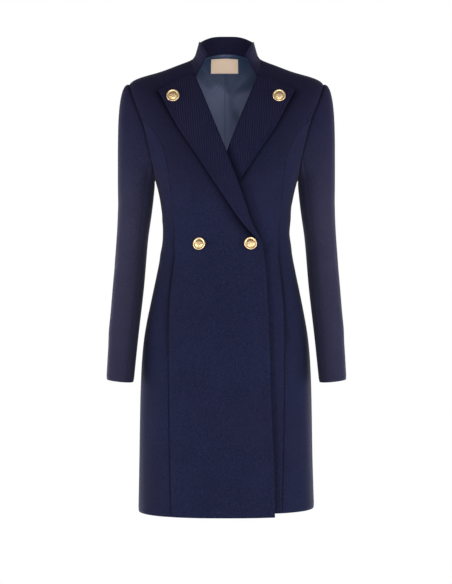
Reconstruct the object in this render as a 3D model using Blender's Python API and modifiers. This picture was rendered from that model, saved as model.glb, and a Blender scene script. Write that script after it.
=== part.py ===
"""A fitted, knee-length, double-breasted wool coat with long sleeves, built hollow, as worn.

Metres, +Z up. The wearer faces -Y, so their right side is at -X and their left side at +X. The
origin lies between the shoulders at the height of the side neck points, where the coat is carried.

Every panel of the coat's body is a cloth wall on one body form: closed rings that tilt over the
shoulders and are level from the waist down. A place on the form is an angle round the body from
the centre front, positive towards the wearer's left, and a level, which is how far down the centre
front its ring lies. Panels are first laid out for the wearer's left side, then mirrored.
"""

import math
from collections import namedtuple

import bpy
import numpy as np

# Driving dimensions
CLOTH = 0.0020  # one layer of the coat's wool
LAPEL_CLOTH = 0.0024
COLLAR_CLOTH = 0.0016  # each of the collar's two layers
LINING_CLOTH = 0.0010
SEAM = 0.0004  # between two pieces at a seam
PLEAT = 0.0030  # how far the lining's ease pleat stands in from the centre back
LABEL_CLEARANCE = 0.0038  # the label bridges the lining's facets
HEM_RIGHT = 0.9225  # levels of the hem at the two side seams
HEM_LEFT = 0.9150
SHOULDER_TIP_LEVEL = 0.135
NECK_LEVEL = 0.060  # of the seam between the collar and the body
COLLAR_TOP_LEVEL = 0.0216
COLLAR_POINT = (0.0610, -0.0380)  # x, z where the collar's front edge meets the roll line
COLLAR_CORNER = (0.0398, 0.0070)  # x, z of the top of that front edge
COLLAR_SQUARENESS = 3.0  # how squarely the collar's top edge turns down behind the ears
ROLL_BREAK = (-0.0710, -0.3700)  # x, z where the roll line ends, just above the buttons
LAP_GAP = 0.0036  # how far the left front sinks where the right front laps over it
LAPEL_LAP_GAP = 0.0050  # and how much further it sinks where its own lapel lies between
UNDER_LAPEL_TOP = -0.375  # the height from which the left lapel lies between
LAPEL_STAND = 0.0009  # the least clearance between a lapel and its front
PEAK_STAND = 0.0010  # how much further the lapel stands off at its peak
EDGE_STAND = 0.0008  # and along its outer edge
LABEL_SIDES = (-0.0330, 0.0250)  # x; the label is sewn in a little towards the wearer's right
LABEL_ENDS = (0.0136, -0.0160)  # z
SIDE = math.pi / 2
BACK = math.pi

BodyRing = namedtuple("BodyRing", "level side_z back_z half_width front back roundness")
BODY = [
    BodyRing(0.0216, 0.0370, 0.0570, 0.0560, 0.0650, 0.060, 2.00),  # collar top
    BodyRing(0.0400, 0.0150, 0.0390, 0.0622, 0.0640, 0.063, 2.00),
    BodyRing(0.0600, 0.0010, 0.0220, 0.0720, 0.0650, 0.068, 2.00),  # neck seam
    BodyRing(0.0770, -0.0095, 0.0020, 0.0980, 0.0740, 0.077, 2.05),
    BodyRing(0.1000, -0.0260, -0.0290, 0.1400, 0.0860, 0.086, 2.15),
    BodyRing(0.1350, -0.0510, -0.0720, 0.1993, 0.1000, 0.095, 2.30),  # shoulder tip
    BodyRing(0.1800, -0.1300, -0.1400, 0.1900, 0.1130, 0.101, 2.40),
    BodyRing(0.2250, -0.2050, -0.2080, 0.1640, 0.1210, 0.102, 2.40),
    BodyRing(0.2620, -0.2460, -0.2500, 0.1468, 0.1235, 0.099, 2.30),  # underarm
    BodyRing(0.3100, -0.2980, -0.3000, 0.1345, 0.1160, 0.088, 2.20),
    BodyRing(0.3700, -0.3650, -0.3660, 0.1308, 0.1040, 0.077, 2.20),  # waist
    BodyRing(0.4240, -0.4240, -0.4240, 0.1395, 0.1030, 0.081, 2.20),
    BodyRing(0.4920, -0.4920, -0.4920, 0.1538, 0.1070, 0.100, 2.20),
    BodyRing(0.5600, -0.5600, -0.5600, 0.1664, 0.1110, 0.115, 2.25),  # hip
    BodyRing(0.6620, -0.6620, -0.6620, 0.1738, 0.1160, 0.121, 2.35),
    BodyRing(0.8000, -0.8000, -0.8000, 0.1766, 0.1220, 0.122, 2.40),
    BodyRing(0.9225, -0.9225, -0.9225, 0.1798, 0.1290, 0.125, 2.40),
]

# Seams as seen from the front or the back: how far out the seam lies at each height
SeamPoint = namedtuple("SeamPoint", "z x")
FRONT_ARMHOLE = [
    SeamPoint(-0.0510, 0.1993),
    SeamPoint(-0.0937, 0.1843),
    SeamPoint(-0.1317, 0.1694),
    SeamPoint(-0.1776, 0.1575),
    SeamPoint(-0.2231, 0.1487),
    SeamPoint(-0.2460, 0.1468),
]
BACK_ARMHOLE = [
    SeamPoint(-0.0510, 0.1993),
    SeamPoint(-0.0950, 0.1850),
    SeamPoint(-0.1350, 0.1735),
    SeamPoint(-0.1800, 0.1615),
    SeamPoint(-0.2231, 0.1505),
    SeamPoint(-0.2460, 0.1468),
]
FRONT_PRINCESS = [
    SeamPoint(-0.1260, 0.1716),
    SeamPoint(-0.1550, 0.1445),
    SeamPoint(-0.1870, 0.1270),
    SeamPoint(-0.2350, 0.1160),
    SeamPoint(-0.3000, 0.1093),
    SeamPoint(-0.4170, 0.1062),
    SeamPoint(-0.4550, 0.1105),
    SeamPoint(-0.5150, 0.1163),
    SeamPoint(-0.5910, 0.1169),
    SeamPoint(-0.7400, 0.1148),
    SeamPoint(-0.9225, 0.1108),
]
BACK_PRINCESS = [
    SeamPoint(-0.1450, 0.1707),
    SeamPoint(-0.1750, 0.1400),
    SeamPoint(-0.2200, 0.1140),
    SeamPoint(-0.3000, 0.0900),
    SeamPoint(-0.3700, 0.0800),
    SeamPoint(-0.4500, 0.0840),
    SeamPoint(-0.5600, 0.0930),
    SeamPoint(-0.7400, 0.0970),
    SeamPoint(-0.9225, 0.1000),
]
# The front's free edge: the collar seam, the roll line, then the edge down to the hem
FRONT_NECK = [SeamPoint(0.0010, 0.0720), SeamPoint(-0.0160, 0.0698), SeamPoint(-0.0380, 0.0610)]
ROLL_LINE = [
    SeamPoint(-0.0380, 0.0610),
    SeamPoint(-0.1200, 0.0284),
    SeamPoint(-0.2000, -0.0034),
    SeamPoint(-0.2600, -0.0263),
    SeamPoint(-0.3100, -0.0437),
    SeamPoint(-0.3400, -0.0548),
    SeamPoint(-0.3700, -0.0710),
]
FRONT_EDGE = [
    SeamPoint(-0.3700, -0.0710),
    SeamPoint(-0.3981, -0.0747),
    SeamPoint(-0.4419, -0.0787),
    SeamPoint(-0.4915, -0.0818),
    SeamPoint(-0.6241, -0.0866),
    SeamPoint(-0.7229, -0.0896),
    SeamPoint(-0.8211, -0.0942),
    SeamPoint(-0.9225, -0.0958),
]
LAPEL_TOP = [(0.0610, -0.0380), (0.0830, -0.0425), (0.1100, -0.0590), (0.1360, -0.0749)]  # x, z
LAPEL_END_RISE = 0.004  # the lapel's lower end stops this far above the roll line's end
LAPEL_EDGE = [
    SeamPoint(-0.0749, 0.1360),
    SeamPoint(-0.1062, 0.1193),
    SeamPoint(-0.1455, 0.0978),
    SeamPoint(-0.1950, 0.0652),
    SeamPoint(-0.2380, 0.0373),
    SeamPoint(-0.2940, -0.0006),
    SeamPoint(-0.3273, -0.0229),
    SeamPoint(-0.3570, -0.0448),
    SeamPoint(-0.3690, -0.0650),
]

# Heights that the rows of facets share, so that the seams' points match from panel to panel
CHEST_ROW = -0.165  # where the front edge is level with the top of the princess seam
BACK_CHEST_ROW = -0.120
FRONT_WAIST_ROW = -0.365  # on the princess seams, level with the roll line's end
SIDE_WAIST_ROW = -0.385
BACK_WAIST_ROW = -0.370

# The sleeve below the armhole, as rings round the arm
SleeveRing = namedtuple("SleeveRing", "z centre_x half_width centre_y half_depth")
SLEEVE = [
    SleeveRing(-0.2300, 0.1848, 0.0376, 0.000, 0.0570),
    SleeveRing(-0.2900, 0.1880, 0.0345, 0.003, 0.0555),
    SleeveRing(-0.3400, 0.1912, 0.0318, 0.006, 0.0530),
    SleeveRing(-0.3900, 0.1950, 0.0316, 0.007, 0.0510),  # elbow
    SleeveRing(-0.4600, 0.2003, 0.0318, 0.000, 0.0490),
    SleeveRing(-0.5400, 0.2073, 0.0304, -0.014, 0.0470),
    SleeveRing(-0.6556, 0.2158, 0.0277, -0.034, 0.0445),  # cuff
]
SLEEVE_ROUNDNESS = 2.15
SLEEVE_HEAD = 0.48  # how far the sleeve head stands out before it turns down, as a share
CAP_TILT = 0.034  # half the rise, inside to outside, of the ring where the cap ends
CUFF_TILT = 0.003
CAP_FULLNESS = 0.006  # how far the sleeve head's top rises before it turns down

Button = namedtuple("Button", "name x z tilt lift")
BUTTON_RADIUS = 0.0131
BUTTONS = [  # tilt is the share of the cloth's own slope that the button follows
    Button("button_lapel_right", -0.1065, -0.0860, 0.55, 0.0055),
    Button("button_lapel_left", 0.1050, -0.0860, 0.55, 0.0055),
    Button("button_waist_right", -0.0534, -0.3800, 1.0, 0.0006),
    Button("button_waist_left", 0.0476, -0.3792, 1.0, 0.0006),
]

# How finely the walls are faceted
NECK_ROWS = 2
COLLAR_ROWS = 3
BACK_NECK_ROWS = 4
CHEST_ROWS = 4
UPPER_ROWS = NECK_ROWS + CHEST_ROWS
BUST_ROWS = 6
SKIRT_ROWS = 11
FRONT_COLUMNS = 6
SIDE_COLUMNS = 4
BACK_COLUMNS = 5


# --- Smooth curves and the body form ---------------------------------------------------------
def smooth(at, values):
    """A natural cubic spline through values at rising places, as a function."""
    at, values = np.array(at, float), np.array(values, float)
    step, last = np.diff(at), len(at) - 1
    slope = np.diff(values) / step
    system, right = np.eye(last + 1), np.zeros(last + 1)
    for i in range(1, last):
        system[i, i - 1 : i + 2] = step[i - 1], 2 * (step[i - 1] + step[i]), step[i]
        right[i] = 6 * (slope[i] - slope[i - 1])
    bend = np.linalg.solve(system, right)

    def curve(place):
        place = np.clip(place, at[0], at[-1])
        i = np.clip(np.searchsorted(at, place) - 1, 0, last - 1)
        h = step[i]
        b = (place - at[i]) / h
        a = 1 - b
        swell = ((a**3 - a) * bend[i] + (b**3 - b) * bend[i + 1]) * h * h / 6
        return a * values[i] + b * values[i + 1] + swell

    return curve


def unit(vectors):
    """The vectors made one long."""
    return vectors / np.maximum(np.linalg.norm(vectors, axis=-1, keepdims=True), 1e-9)


def column(rows, name, by):
    """One column of a table as a smooth function of another column."""
    rows = sorted(rows, key=lambda row: getattr(row, by))
    return smooth([getattr(row, by) for row in rows], [getattr(row, name) for row in rows])


RING = {name: column(BODY, name, "level") for name in BodyRing._fields if name != "level"}


def body_point(places):
    """Points of the coat's outer surface at places, an array whose last axis is angle, level."""
    angle, level = places[..., 0], places[..., 1]
    width, power = RING["half_width"](level), RING["roundness"](level)
    ahead = np.cos(angle) > 0
    depth = np.where(ahead, RING["front"](level), RING["back"](level))
    across, along = np.abs(np.sin(angle)) / width, np.abs(np.cos(angle)) / depth
    radius = (across**power + along**power) ** (-1 / power)
    x, y = radius * np.sin(angle), -radius * np.cos(angle)
    sideways = np.clip(np.abs(x) / width, 0, 1) ** power
    end_z = np.where(ahead, -level, RING["back_z"](level))
    z = sideways * RING["side_z"](level) + (1 - sideways) * end_z
    return np.stack([x, y, z], axis=-1)


def body_outward(places):
    """The unit direction straight out of the cloth at places."""
    little = 1e-4
    turn, drop = np.array([little, 0.0]), np.array([0.0, little])
    round_it = body_point(places + turn) - body_point(places - turn)
    down_it = body_point(places + drop) - body_point(places - drop)
    return unit(np.cross(down_it, round_it))


def place_at(x, z, behind=False):
    """The place on the front, or the back, of the body that stands at x and z."""
    x, z = np.broadcast_arrays(np.asarray(x, float), np.asarray(z, float))
    levels = np.linspace(BODY[0].level, BODY[-1].level, 2500)
    width, power = RING["half_width"](levels), RING["roundness"](levels)
    end_z = RING["back_z"](levels) if behind else -levels
    places = np.empty(x.shape + (2,))
    for i in np.ndindex(x.shape):
        sideways = np.clip(abs(x[i]) / width, 0, 1) ** power
        height = sideways * RING["side_z"](levels) + (1 - sideways) * end_z
        level = np.interp(-z[i], -height, levels)
        w, p = RING["half_width"](level), RING["roundness"](level)
        depth = RING["back"](level) if behind else RING["front"](level)
        y = depth * max(1 - min(abs(x[i]) / w, 1) ** p, 0) ** (1 / p)
        places[i] = math.atan2(x[i], -y if behind else y), level
    return places


# --- Seams, as curves of places --------------------------------------------------------------
def run_of(places):
    """The share of a line's length at each of its places."""
    steps = np.linalg.norm(np.diff(body_point(places), axis=0), axis=1)
    run = np.concatenate([[0], np.cumsum(steps)])
    return run / run[-1]


def along(places, shares):
    """Places at shares of the length of a line of places."""
    run = run_of(places)
    return np.stack([np.interp(shares, run, places[:, i]) for i in (0, 1)], axis=1)


def armhole_line(table, behind):
    """The armhole from the shoulder tip to the underarm, closely spaced, as places."""
    out_at = column(table, "x", "z")
    share = np.sin(np.linspace(0, SIDE, 160))  # closer together where it scoops under the arm
    z = table[0].z + (table[-1].z - table[0].z) * share
    places = place_at(out_at(z), z, behind)
    places[0] = SIDE, SHOULDER_TIP_LEVEL
    places[-1, 0] = SIDE
    return places


ARMHOLE = {False: armhole_line(FRONT_ARMHOLE, False), True: armhole_line(BACK_ARMHOLE, True)}
UNDERARM_LEVEL = ARMHOLE[False][-1, 1]


def junction(behind):
    """The share of the armhole's length at which the princess seam leaves it."""
    line = ARMHOLE[behind]
    start = (BACK_PRINCESS if behind else FRONT_PRINCESS)[0].z
    return float(np.interp(-start, -body_point(line)[:, 2], run_of(line)))


def hem_level(angle):
    """The hem hangs a little higher on the wearer's left than on the right."""
    middle, half = (HEM_RIGHT + HEM_LEFT) / 2, (HEM_RIGHT - HEM_LEFT) / 2
    return middle - half * np.sin(angle)


def princess(behind, shares, side):
    """A princess seam, from the armhole, at shares of the way down to the hem."""
    table = BACK_PRINCESS if behind else FRONT_PRINCESS
    waist = BACK_WAIST_ROW if behind else FRONT_WAIST_ROW
    z = np.interp(shares, [0, BREAK_SHARE, 1], [table[0].z, waist, -hem_level(side * SIDE)])
    places = place_at(column(table, "x", "z")(z), z, behind)
    places[0] = along(ARMHOLE[behind], [junction(behind)])[0]
    return places


# --- Laying out a panel ----------------------------------------------------------------------
BREAK_SHARE = 0.30  # where the roll line's end comes, down the lower part of each seam
LOWER = np.concatenate(
    [
        np.linspace(0, BREAK_SHARE, BUST_ROWS + 1),
        np.linspace(BREAK_SHARE, 1, SKIRT_ROWS + 1)[1:],
    ]
)


def front_free_edge(z):
    """How far out the front's free edge lies at each height, negative past the centre front."""
    neck, skirt = column(FRONT_NECK, "x", "z"), column(FRONT_EDGE, "x", "z")
    roll = column(ROLL_LINE, "x", "z")(z)
    return np.where(z > COLLAR_POINT[1], neck(z), np.where(z > ROLL_BREAK[1], roll, skirt(z)))


def front_inner_rows(hem_z):
    """The heights of the rows where they meet the front's free edge."""
    neck = np.linspace(FRONT_NECK[0].z, COLLAR_POINT[1], NECK_ROWS + 1)
    chest = np.linspace(COLLAR_POINT[1], CHEST_ROW, CHEST_ROWS + 1)[1:]
    lower = np.interp(LOWER, [0, BREAK_SHARE, 1], [CHEST_ROW, ROLL_BREAK[1], hem_z])[1:]
    return np.concatenate([neck, chest, lower])


def filled(inner, outer, top, bottom):
    """Places that fill the panel between four lines of places that meet at their ends."""
    v = np.linspace(0, 1, len(inner))[:, None, None]
    u = np.linspace(0, 1, len(top))[None, :, None]
    down = (1 - u) * inner[:, None] + u * outer[:, None]
    over = (1 - v) * top[None] + v * bottom[None]
    corners = (1 - v) * ((1 - u) * top[0] + u * top[-1]) + v * ((1 - u) * bottom[0] + u * bottom[-1])
    return down + over - corners


def straight(start, end, count):
    """Evenly spaced places from one place to another."""
    return start + (end - start) * np.linspace(0, 1, count)[:, None]


def ruled(inner, outer, columns):
    """Places in straight rows from one line to another."""
    u = np.linspace(0, 1, columns + 1)[None, :, None]
    return (1 - u) * inner[:, None] + u * outer[:, None]


def front_places(side):
    """From the front's free edge to the armhole and the princess seam."""
    z = front_inner_rows(-hem_level(side * SIDE))
    inner = place_at(front_free_edge(z), z)
    upper = along(ARMHOLE[False], np.linspace(0, junction(False), UPPER_ROWS + 1))[:-1]
    outer = np.concatenate([upper, princess(False, LOWER, side)])
    return ruled(inner, outer, FRONT_COLUMNS)


def side_seam(side):
    """From the underarm down to the hem."""
    levels = np.linspace(UNDERARM_LEVEL, HEM_RIGHT, 400)
    z = np.interp(
        LOWER,
        [0, BREAK_SHARE, 1],
        [RING["side_z"](UNDERARM_LEVEL), SIDE_WAIST_ROW, -hem_level(side * SIDE)],
    )
    down = np.interp(-z, -RING["side_z"](levels), levels)
    return np.stack([np.full(len(z), SIDE), down], axis=1)


def side_panel_places(behind, side):
    """From the princess seam to the side seam, under the armhole."""
    inner, outer = princess(behind, LOWER, side), side_seam(side)
    top = along(ARMHOLE[behind], np.linspace(junction(behind), 1, SIDE_COLUMNS + 1))
    return filled(inner, outer, top, straight(inner[-1], outer[-1], SIDE_COLUMNS + 1))


def back_neck():
    """The neck seam from the side neck point to the centre back."""
    return straight(np.array([SIDE, NECK_LEVEL]), np.array([BACK, NECK_LEVEL]), BACK_NECK_ROWS + 1)


def back_places(side):
    """From the centre back to the shoulder, the armhole and the princess seam."""
    down_z = np.concatenate(
        [
            np.linspace(RING["back_z"](NECK_LEVEL), BACK_CHEST_ROW, UPPER_ROWS - BACK_NECK_ROWS + 1)[1:],
            np.interp(LOWER, [0, BREAK_SHARE, 1], [BACK_CHEST_ROW, BACK_WAIST_ROW, -hem_level(BACK)])[1:],
        ]
    )
    centre = place_at(np.zeros(len(down_z)), down_z, behind=True)
    centre[:, 0] = BACK
    upper = along(ARMHOLE[True], np.linspace(0, junction(True), UPPER_ROWS + 1))[:-1]
    outer = np.concatenate([upper, princess(True, LOWER, side)])
    return ruled(np.concatenate([back_neck(), centre]), outer, BACK_COLUMNS)


# --- Solids ----------------------------------------------------------------------------------
def step_in(points, gap):
    """The grid with each outer line of points moved half a seam's gap into the panel, square to it."""
    moved = points.copy()
    for axis in (0, 1):
        lines = np.moveaxis(points, axis, 0)
        shift = np.moveaxis(np.zeros_like(points), axis, 0)
        for edge, inner in ((0, 1), (-1, -2)):
            along_it = unit(np.gradient(lines[edge], axis=0))
            way = lines[inner] - lines[edge]
            way -= along_it * np.sum(way * along_it, axis=-1, keepdims=True)
            shift[edge] = unit(way) * gap / 2
        moved += np.moveaxis(shift, 0, axis)
    return moved


def wall(name, outer, inner, material, collection, mirrored=False):
    """A closed wall between two grids of points that match, rimmed all round."""
    if mirrored:
        outer, inner = outer * [-1, 1, 1], inner * [-1, 1, 1]
    rows, columns = outer.shape[:2]
    points = np.concatenate([outer.reshape(-1, 3), inner.reshape(-1, 3)])
    down_it = outer[-1, columns // 2] - outer[-2, columns // 2]
    across_it = outer[-1, columns // 2] - outer[-1, columns // 2 - 1]
    thick = outer[-1, columns // 2] - inner[-1, columns // 2]
    turned = np.cross(down_it, across_it) @ thick < 0
    index = np.arange(rows * columns).reshape(rows, columns)
    below = index + rows * columns
    faces = []
    for i in range(rows - 1):
        for j in range(columns - 1):
            a, b, c, d = index[i, j], index[i, j + 1], index[i + 1, j + 1], index[i + 1, j]
            faces.append((a, d, c, b))
            a, b, c, d = below[i, j], below[i, j + 1], below[i + 1, j + 1], below[i + 1, j]
            faces.append((a, b, c, d))
    rim = [*index[0, :-1], *index[:-1, -1], *index[-1, :0:-1], *index[:0:-1, 0]]
    under = [*below[0, :-1], *below[:-1, -1], *below[-1, :0:-1], *below[:0:-1, 0]]
    for k, start in enumerate(rim):
        following = (k + 1) % len(rim)
        faces.append((start, rim[following], under[following], under[k]))
    if turned:
        faces = [face[::-1] for face in faces]
    mesh = bpy.data.meshes.new(name)
    mesh.from_pydata(points.tolist(), [], [[int(i) for i in face] for face in faces])
    mesh.shade_smooth()
    mesh.set_sharp_from_angle(angle=math.radians(50))
    mesh.materials.append(material)
    piece = bpy.data.objects.new(name, mesh)
    collection.objects.link(piece)
    return piece


def body_wall(name, places, material, collection, mirrored, thickness=CLOTH, lift=0.0, gap=SEAM, rise=0.0):
    """A wall whose outer face is the body form moved out by lift, one value or a grid of them.

    rise moves it straight up.
    """
    outward = body_outward(places)
    lift = np.broadcast_to(lift, places.shape[:2])[..., None]
    form = step_in(body_point(places), gap)
    form[..., 2] += rise
    outer, inner = form + outward * lift, form + outward * (lift - thickness)
    return wall(name, outer, inner, material, collection, mirrored)


def ease(value, start, end):
    """A smooth step from 0 at start to 1 at end."""
    share = np.clip((value - start) / (end - start), 0, 1)
    return share * share * (3 - 2 * share)


def lap_under(points):
    """How far the left front and its lapel sink where the right front laps over them."""
    x, z = points[..., 0], points[..., 2]
    beyond = x + front_free_edge(np.minimum(z, COLLAR_POINT[1]))  # past the right front's edge
    under_lapel = ease(z, UNDER_LAPEL_TOP - 0.025, UNDER_LAPEL_TOP)
    deep = LAP_GAP + LAPEL_LAP_GAP * under_lapel
    return deep * ease(-beyond, -0.013 - 0.013 * under_lapel, -0.001)


def finish(name, colour, roughness, metallic=0.0):
    """A plain material."""
    material = bpy.data.materials.new(name)
    material.use_nodes = True
    shader = material.node_tree.nodes["Principled BSDF"]
    shader.inputs["Base Color"].default_value = (*colour, 1.0)
    shader.inputs["Roughness"].default_value = roughness
    shader.inputs["Metallic"].default_value = metallic
    return material


def body_panels(collection, wool):
    for hand, side in (("right", -1), ("left", 1)):
        mirrored = side < 0
        places = front_places(side)
        lift = 0.0 if mirrored else -lap_under(body_point(places))
        body_wall(f"front_{hand}", places, wool, collection, mirrored, lift=lift)
        for name, behind in (("side_front", False), ("side_back", True)):
            body_wall(f"{name}_{hand}", side_panel_places(behind, side), wool, collection, mirrored)
        body_wall(f"back_{hand}", back_places(side), wool, collection, mirrored)


def lapels(collection, wool):
    """The turned-back facings, from the roll line to the peaked outer edge."""
    inner_z = front_inner_rows(-HEM_RIGHT)[NECK_ROWS : UPPER_ROWS + BUST_ROWS + 1]
    inner_z[-1] += LAPEL_END_RISE
    inner = place_at(front_free_edge(inner_z), inner_z)
    edge_x = column(LAPEL_EDGE, "x", "z")
    outer_z = np.linspace(LAPEL_EDGE[0].z, LAPEL_EDGE[-1].z, len(inner))
    outer = place_at(edge_x(outer_z), outer_z)
    top_x, top_z = np.array(LAPEL_TOP).T
    top = place_at(top_x, top_z)
    columns = len(top)
    places = filled(inner, outer, top, straight(inner[-1], outer[-1], columns))
    across = np.linspace(0, 1, columns)[None, :]
    down = np.linspace(0, 1, len(inner))[:, None]
    stand = LAPEL_CLOTH + LAPEL_STAND + PEAK_STAND * np.sqrt(across) * (1 - down) + EDGE_STAND * across
    for hand, mirrored in (("right", True), ("left", False)):
        lift = stand if mirrored else stand - lap_under(body_point(places))
        body_wall(f"lapel_{hand}", places, wool, collection, mirrored, LAPEL_CLOTH, lift)


def collar_rise(places):
    """How much higher the collar's top edge stands behind than the form's own curve."""
    angle, level = places[..., 0], places[..., 1]
    aside = np.clip(np.abs(body_point(places)[..., 0]) / RING["half_width"](level), 0, 1)
    dip = RING["back_z"](level) - RING["side_z"](level)
    up = (NECK_LEVEL - level) / (NECK_LEVEL - COLLAR_TOP_LEVEL)
    behind = np.cos(angle) < 0
    return np.where(behind, dip * up * (aside ** RING["roundness"](level) - aside**COLLAR_SQUARENESS), 0.0)


def collar(collection, wool):
    """The stand collar: an outer cloth and the facing inside it, one length round the neck."""
    corner = place_at(*COLLAR_CORNER)
    neck_z = front_inner_rows(-HEM_RIGHT)[NECK_ROWS:0:-1]
    forward = place_at(front_free_edge(neck_z), neck_z)
    half = np.concatenate([forward, back_neck()])
    far = (half * [-1, 1] + [2 * math.pi, 0])[::-1][1:]
    seam = np.concatenate([half, far])
    share = np.linspace(0, 1, len(half))
    top_half = corner[0] + (BACK - corner[0]) * share
    top_angle = np.concatenate([top_half, 2 * math.pi - top_half[::-1][1:]])
    top = np.stack([top_angle, np.full(len(top_angle), COLLAR_TOP_LEVEL)], axis=1)
    down = np.linspace(0, 1, COLLAR_ROWS + 1)[:, None]
    edge = place_at(*(np.array(COLLAR_CORNER) * (1 - down) + np.array(COLLAR_POINT) * down).T)
    edge[0] = top[0]
    places = filled(edge, edge * [-1, 1] + [2 * math.pi, 0], top, seam)
    rise = collar_rise(places)
    body_wall("collar", places, wool, collection, False, COLLAR_CLOTH, rise=rise)
    inside = -(COLLAR_CLOTH + SEAM)
    body_wall("collar_facing", places, wool, collection, False, COLLAR_CLOTH, inside, rise=rise)


def sleeve_ring(turn, depth):
    """Points of the sleeve tube round the arm. turn is 0 outside and a quarter turn in front."""
    z = np.clip(depth, SLEEVE[-1].z, SLEEVE[0].z)
    ring = {name: column(SLEEVE, name, "z")(z) for name in SleeveRing._fields if name != "z"}
    c, s = np.cos(turn), np.sin(turn)
    power = SLEEVE_ROUNDNESS
    radius = (np.abs(c) ** power + np.abs(s) ** power) ** (-1 / power)
    done = (depth - SLEEVE[0].z) / (SLEEVE[-1].z - SLEEVE[0].z)
    tilt = CAP_TILT + (CUFF_TILT - CAP_TILT) * ease(done, 0, 0.5)
    x = ring["centre_x"] + ring["half_width"] * c * radius
    y = ring["centre_y"] - ring["half_depth"] * s * radius
    return np.stack([x, y, depth + tilt * c], axis=-1)


def sleeve_points(start, turn, cap_rows, arm_rows):
    """The sleeve's outer face: a cap from the armhole seam, then the tube down to the cuff."""
    top_z, little = SLEEVE[0].z, 1e-3
    turn = turn[None, :]
    end = sleeve_ring(turn, top_z)[0]
    down = unit(sleeve_ring(turn, top_z - little)[0] - end)
    reach = np.linalg.norm(end - start, axis=-1, keepdims=True)
    c, s = np.cos(turn[0]), np.sin(turn[0])
    away = np.stack([(1 + c) / 2, -0.30 * s, c - 1], axis=-1)  # outwards above, downwards below
    leave = away * reach * SLEEVE_HEAD
    leave[:, 2] += CAP_FULLNESS * np.clip(c, 0, 1)
    arrive = down * reach
    t = np.linspace(0, 1, cap_rows + 1)[:, None, None] ** 1.25
    cap = (
        (2 * t**3 - 3 * t**2 + 1) * start
        + (t**3 - 2 * t**2 + t) * leave
        + (3 * t**2 - 2 * t**3) * end
        + (t**3 - t**2) * arrive
    )
    depth = np.linspace(top_z, SLEEVE[-1].z, arm_rows + 1)[1:, None]
    return np.concatenate([cap, sleeve_ring(turn, depth)])


def sleeve_seam_shares():
    """The armhole's points that the panels use, as shares of its front and its back."""
    shares = {}
    for behind in (False, True):
        meet = junction(behind)
        upper = np.linspace(0, meet, UPPER_ROWS + 1)[:-1]
        shares[behind] = np.concatenate([upper, np.linspace(meet, 1, SIDE_COLUMNS + 1)])
    return shares


def sleeves(collection, wool):
    """Two pieces a side: an upper sleeve, and an under sleeve that faces the body."""
    shares = sleeve_seam_shares()
    ahead = along(ARMHOLE[False], shares[False])
    behind = along(ARMHOLE[True], shares[True])[::-1][1:-1]
    places = np.concatenate([ahead, behind])
    turn = math.pi * np.concatenate([shares[False], 2 - shares[True][::-1][1:-1]])
    points = sleeve_points(body_point(places), turn, cap_rows=5, arm_rows=9)
    closed = np.concatenate([points[:, -1:], points, points[:, :1]], axis=1)
    round_it = closed[:, 2:] - closed[:, :-2]
    inner = points + unit(np.cross(np.gradient(points, axis=0), round_it)) * CLOTH
    count = len(places)
    front_seam, hind_seam = UPPER_ROWS + 2, count - UPPER_ROWS - 1
    under = np.arange(front_seam, hind_seam + 1)
    upper = np.arange(hind_seam, count + front_seam + 1) % count
    for hand, mirrored in (("right", True), ("left", False)):
        for name, picked in (("upper_sleeve", upper), ("under_sleeve", under)):
            face, back_face = points[:, picked], inner[:, picked]
            shift = step_in(face, SEAM) - face
            shift[0] *= 2
            wall(f"{name}_{hand}", face + shift, back_face + shift, wool, collection, mirrored)


def lining(collection, satin):
    """The back lining on the back panels' own points, an ease pleat lifting it on the left."""
    for hand, side in (("right", -1), ("left", 1)):
        places = back_places(side)[:-1]
        near_centre = np.linspace(1, 0, BACK_COLUMNS + 1)[None, :] ** 6
        down = np.linspace(0, 1, len(places))[:, None]
        pleat = PLEAT * near_centre * ease(down, 0.20, 0.35) if side > 0 else 0.0
        lift = -(CLOTH + SEAM) - pleat
        body_wall(f"lining_back_{hand}", places, satin, collection, side < 0, LINING_CLOTH, lift)


def neck_label(collection, ribbon):
    """A plain woven label on the lining under the collar."""
    x, z = np.linspace(*LABEL_SIDES, 7), np.linspace(*LABEL_ENDS, 4)
    places = place_at(*np.meshgrid(x, z), behind=True)
    places[..., 0] = np.where(places[..., 0] < 0, places[..., 0] + 2 * math.pi, places[..., 0])
    places = places[:, ::-1]
    lift = -(CLOTH + SEAM + LINING_CLOTH + LABEL_CLEARANCE)
    body_wall("neck_label", places, ribbon, collection, False, LINING_CLOTH, lift, gap=0.0)


def buttons(collection, gold):
    """Domed metal shank buttons, each turned round its own axis."""
    r = BUTTON_RADIUS
    profile = [  # distance from the axis, height above the cloth
        (0.0000, 0.0068),
        (0.30 * r, 0.0066),
        (0.58 * r, 0.0059),
        (0.78 * r, 0.0050),
        (0.84 * r, 0.0055),
        (0.94 * r, 0.0054),
        (r, 0.0043),
        (0.93 * r, 0.0030),
        (0.30 * r, 0.0026),
        (0.24 * r, 0.0000),
        (0.0000, 0.0000),
    ]
    for button in BUTTONS:
        place = place_at(button.x, button.z)
        outward = body_outward(place)
        forward = np.array([0.0, -1.0, 0.0])
        axis = unit(outward * button.tilt + forward * (1 - button.tilt))
        mesh = bpy.data.meshes.new(button.name)
        mesh.from_pydata([(x, 0, z) for x, z in profile], [(i, i + 1) for i in range(len(profile) - 1)], [])
        mesh.materials.append(gold)
        piece = bpy.data.objects.new(button.name, mesh)
        collection.objects.link(piece)
        turned = piece.modifiers.new("turned", "SCREW")
        turned.steps = turned.render_steps = 20
        turned.use_merge_vertices = True
        turned.merge_threshold = 0.00001
        turned.use_smooth_shade = True
        piece.location = body_point(place) + outward * button.lift
        piece.rotation_mode = "QUATERNION"
        up = np.array([0.0, 0.0, 1.0])
        half = unit(up + axis)
        piece.rotation_quaternion = (float(up @ half), *(float(v) for v in np.cross(up, half)))


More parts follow.
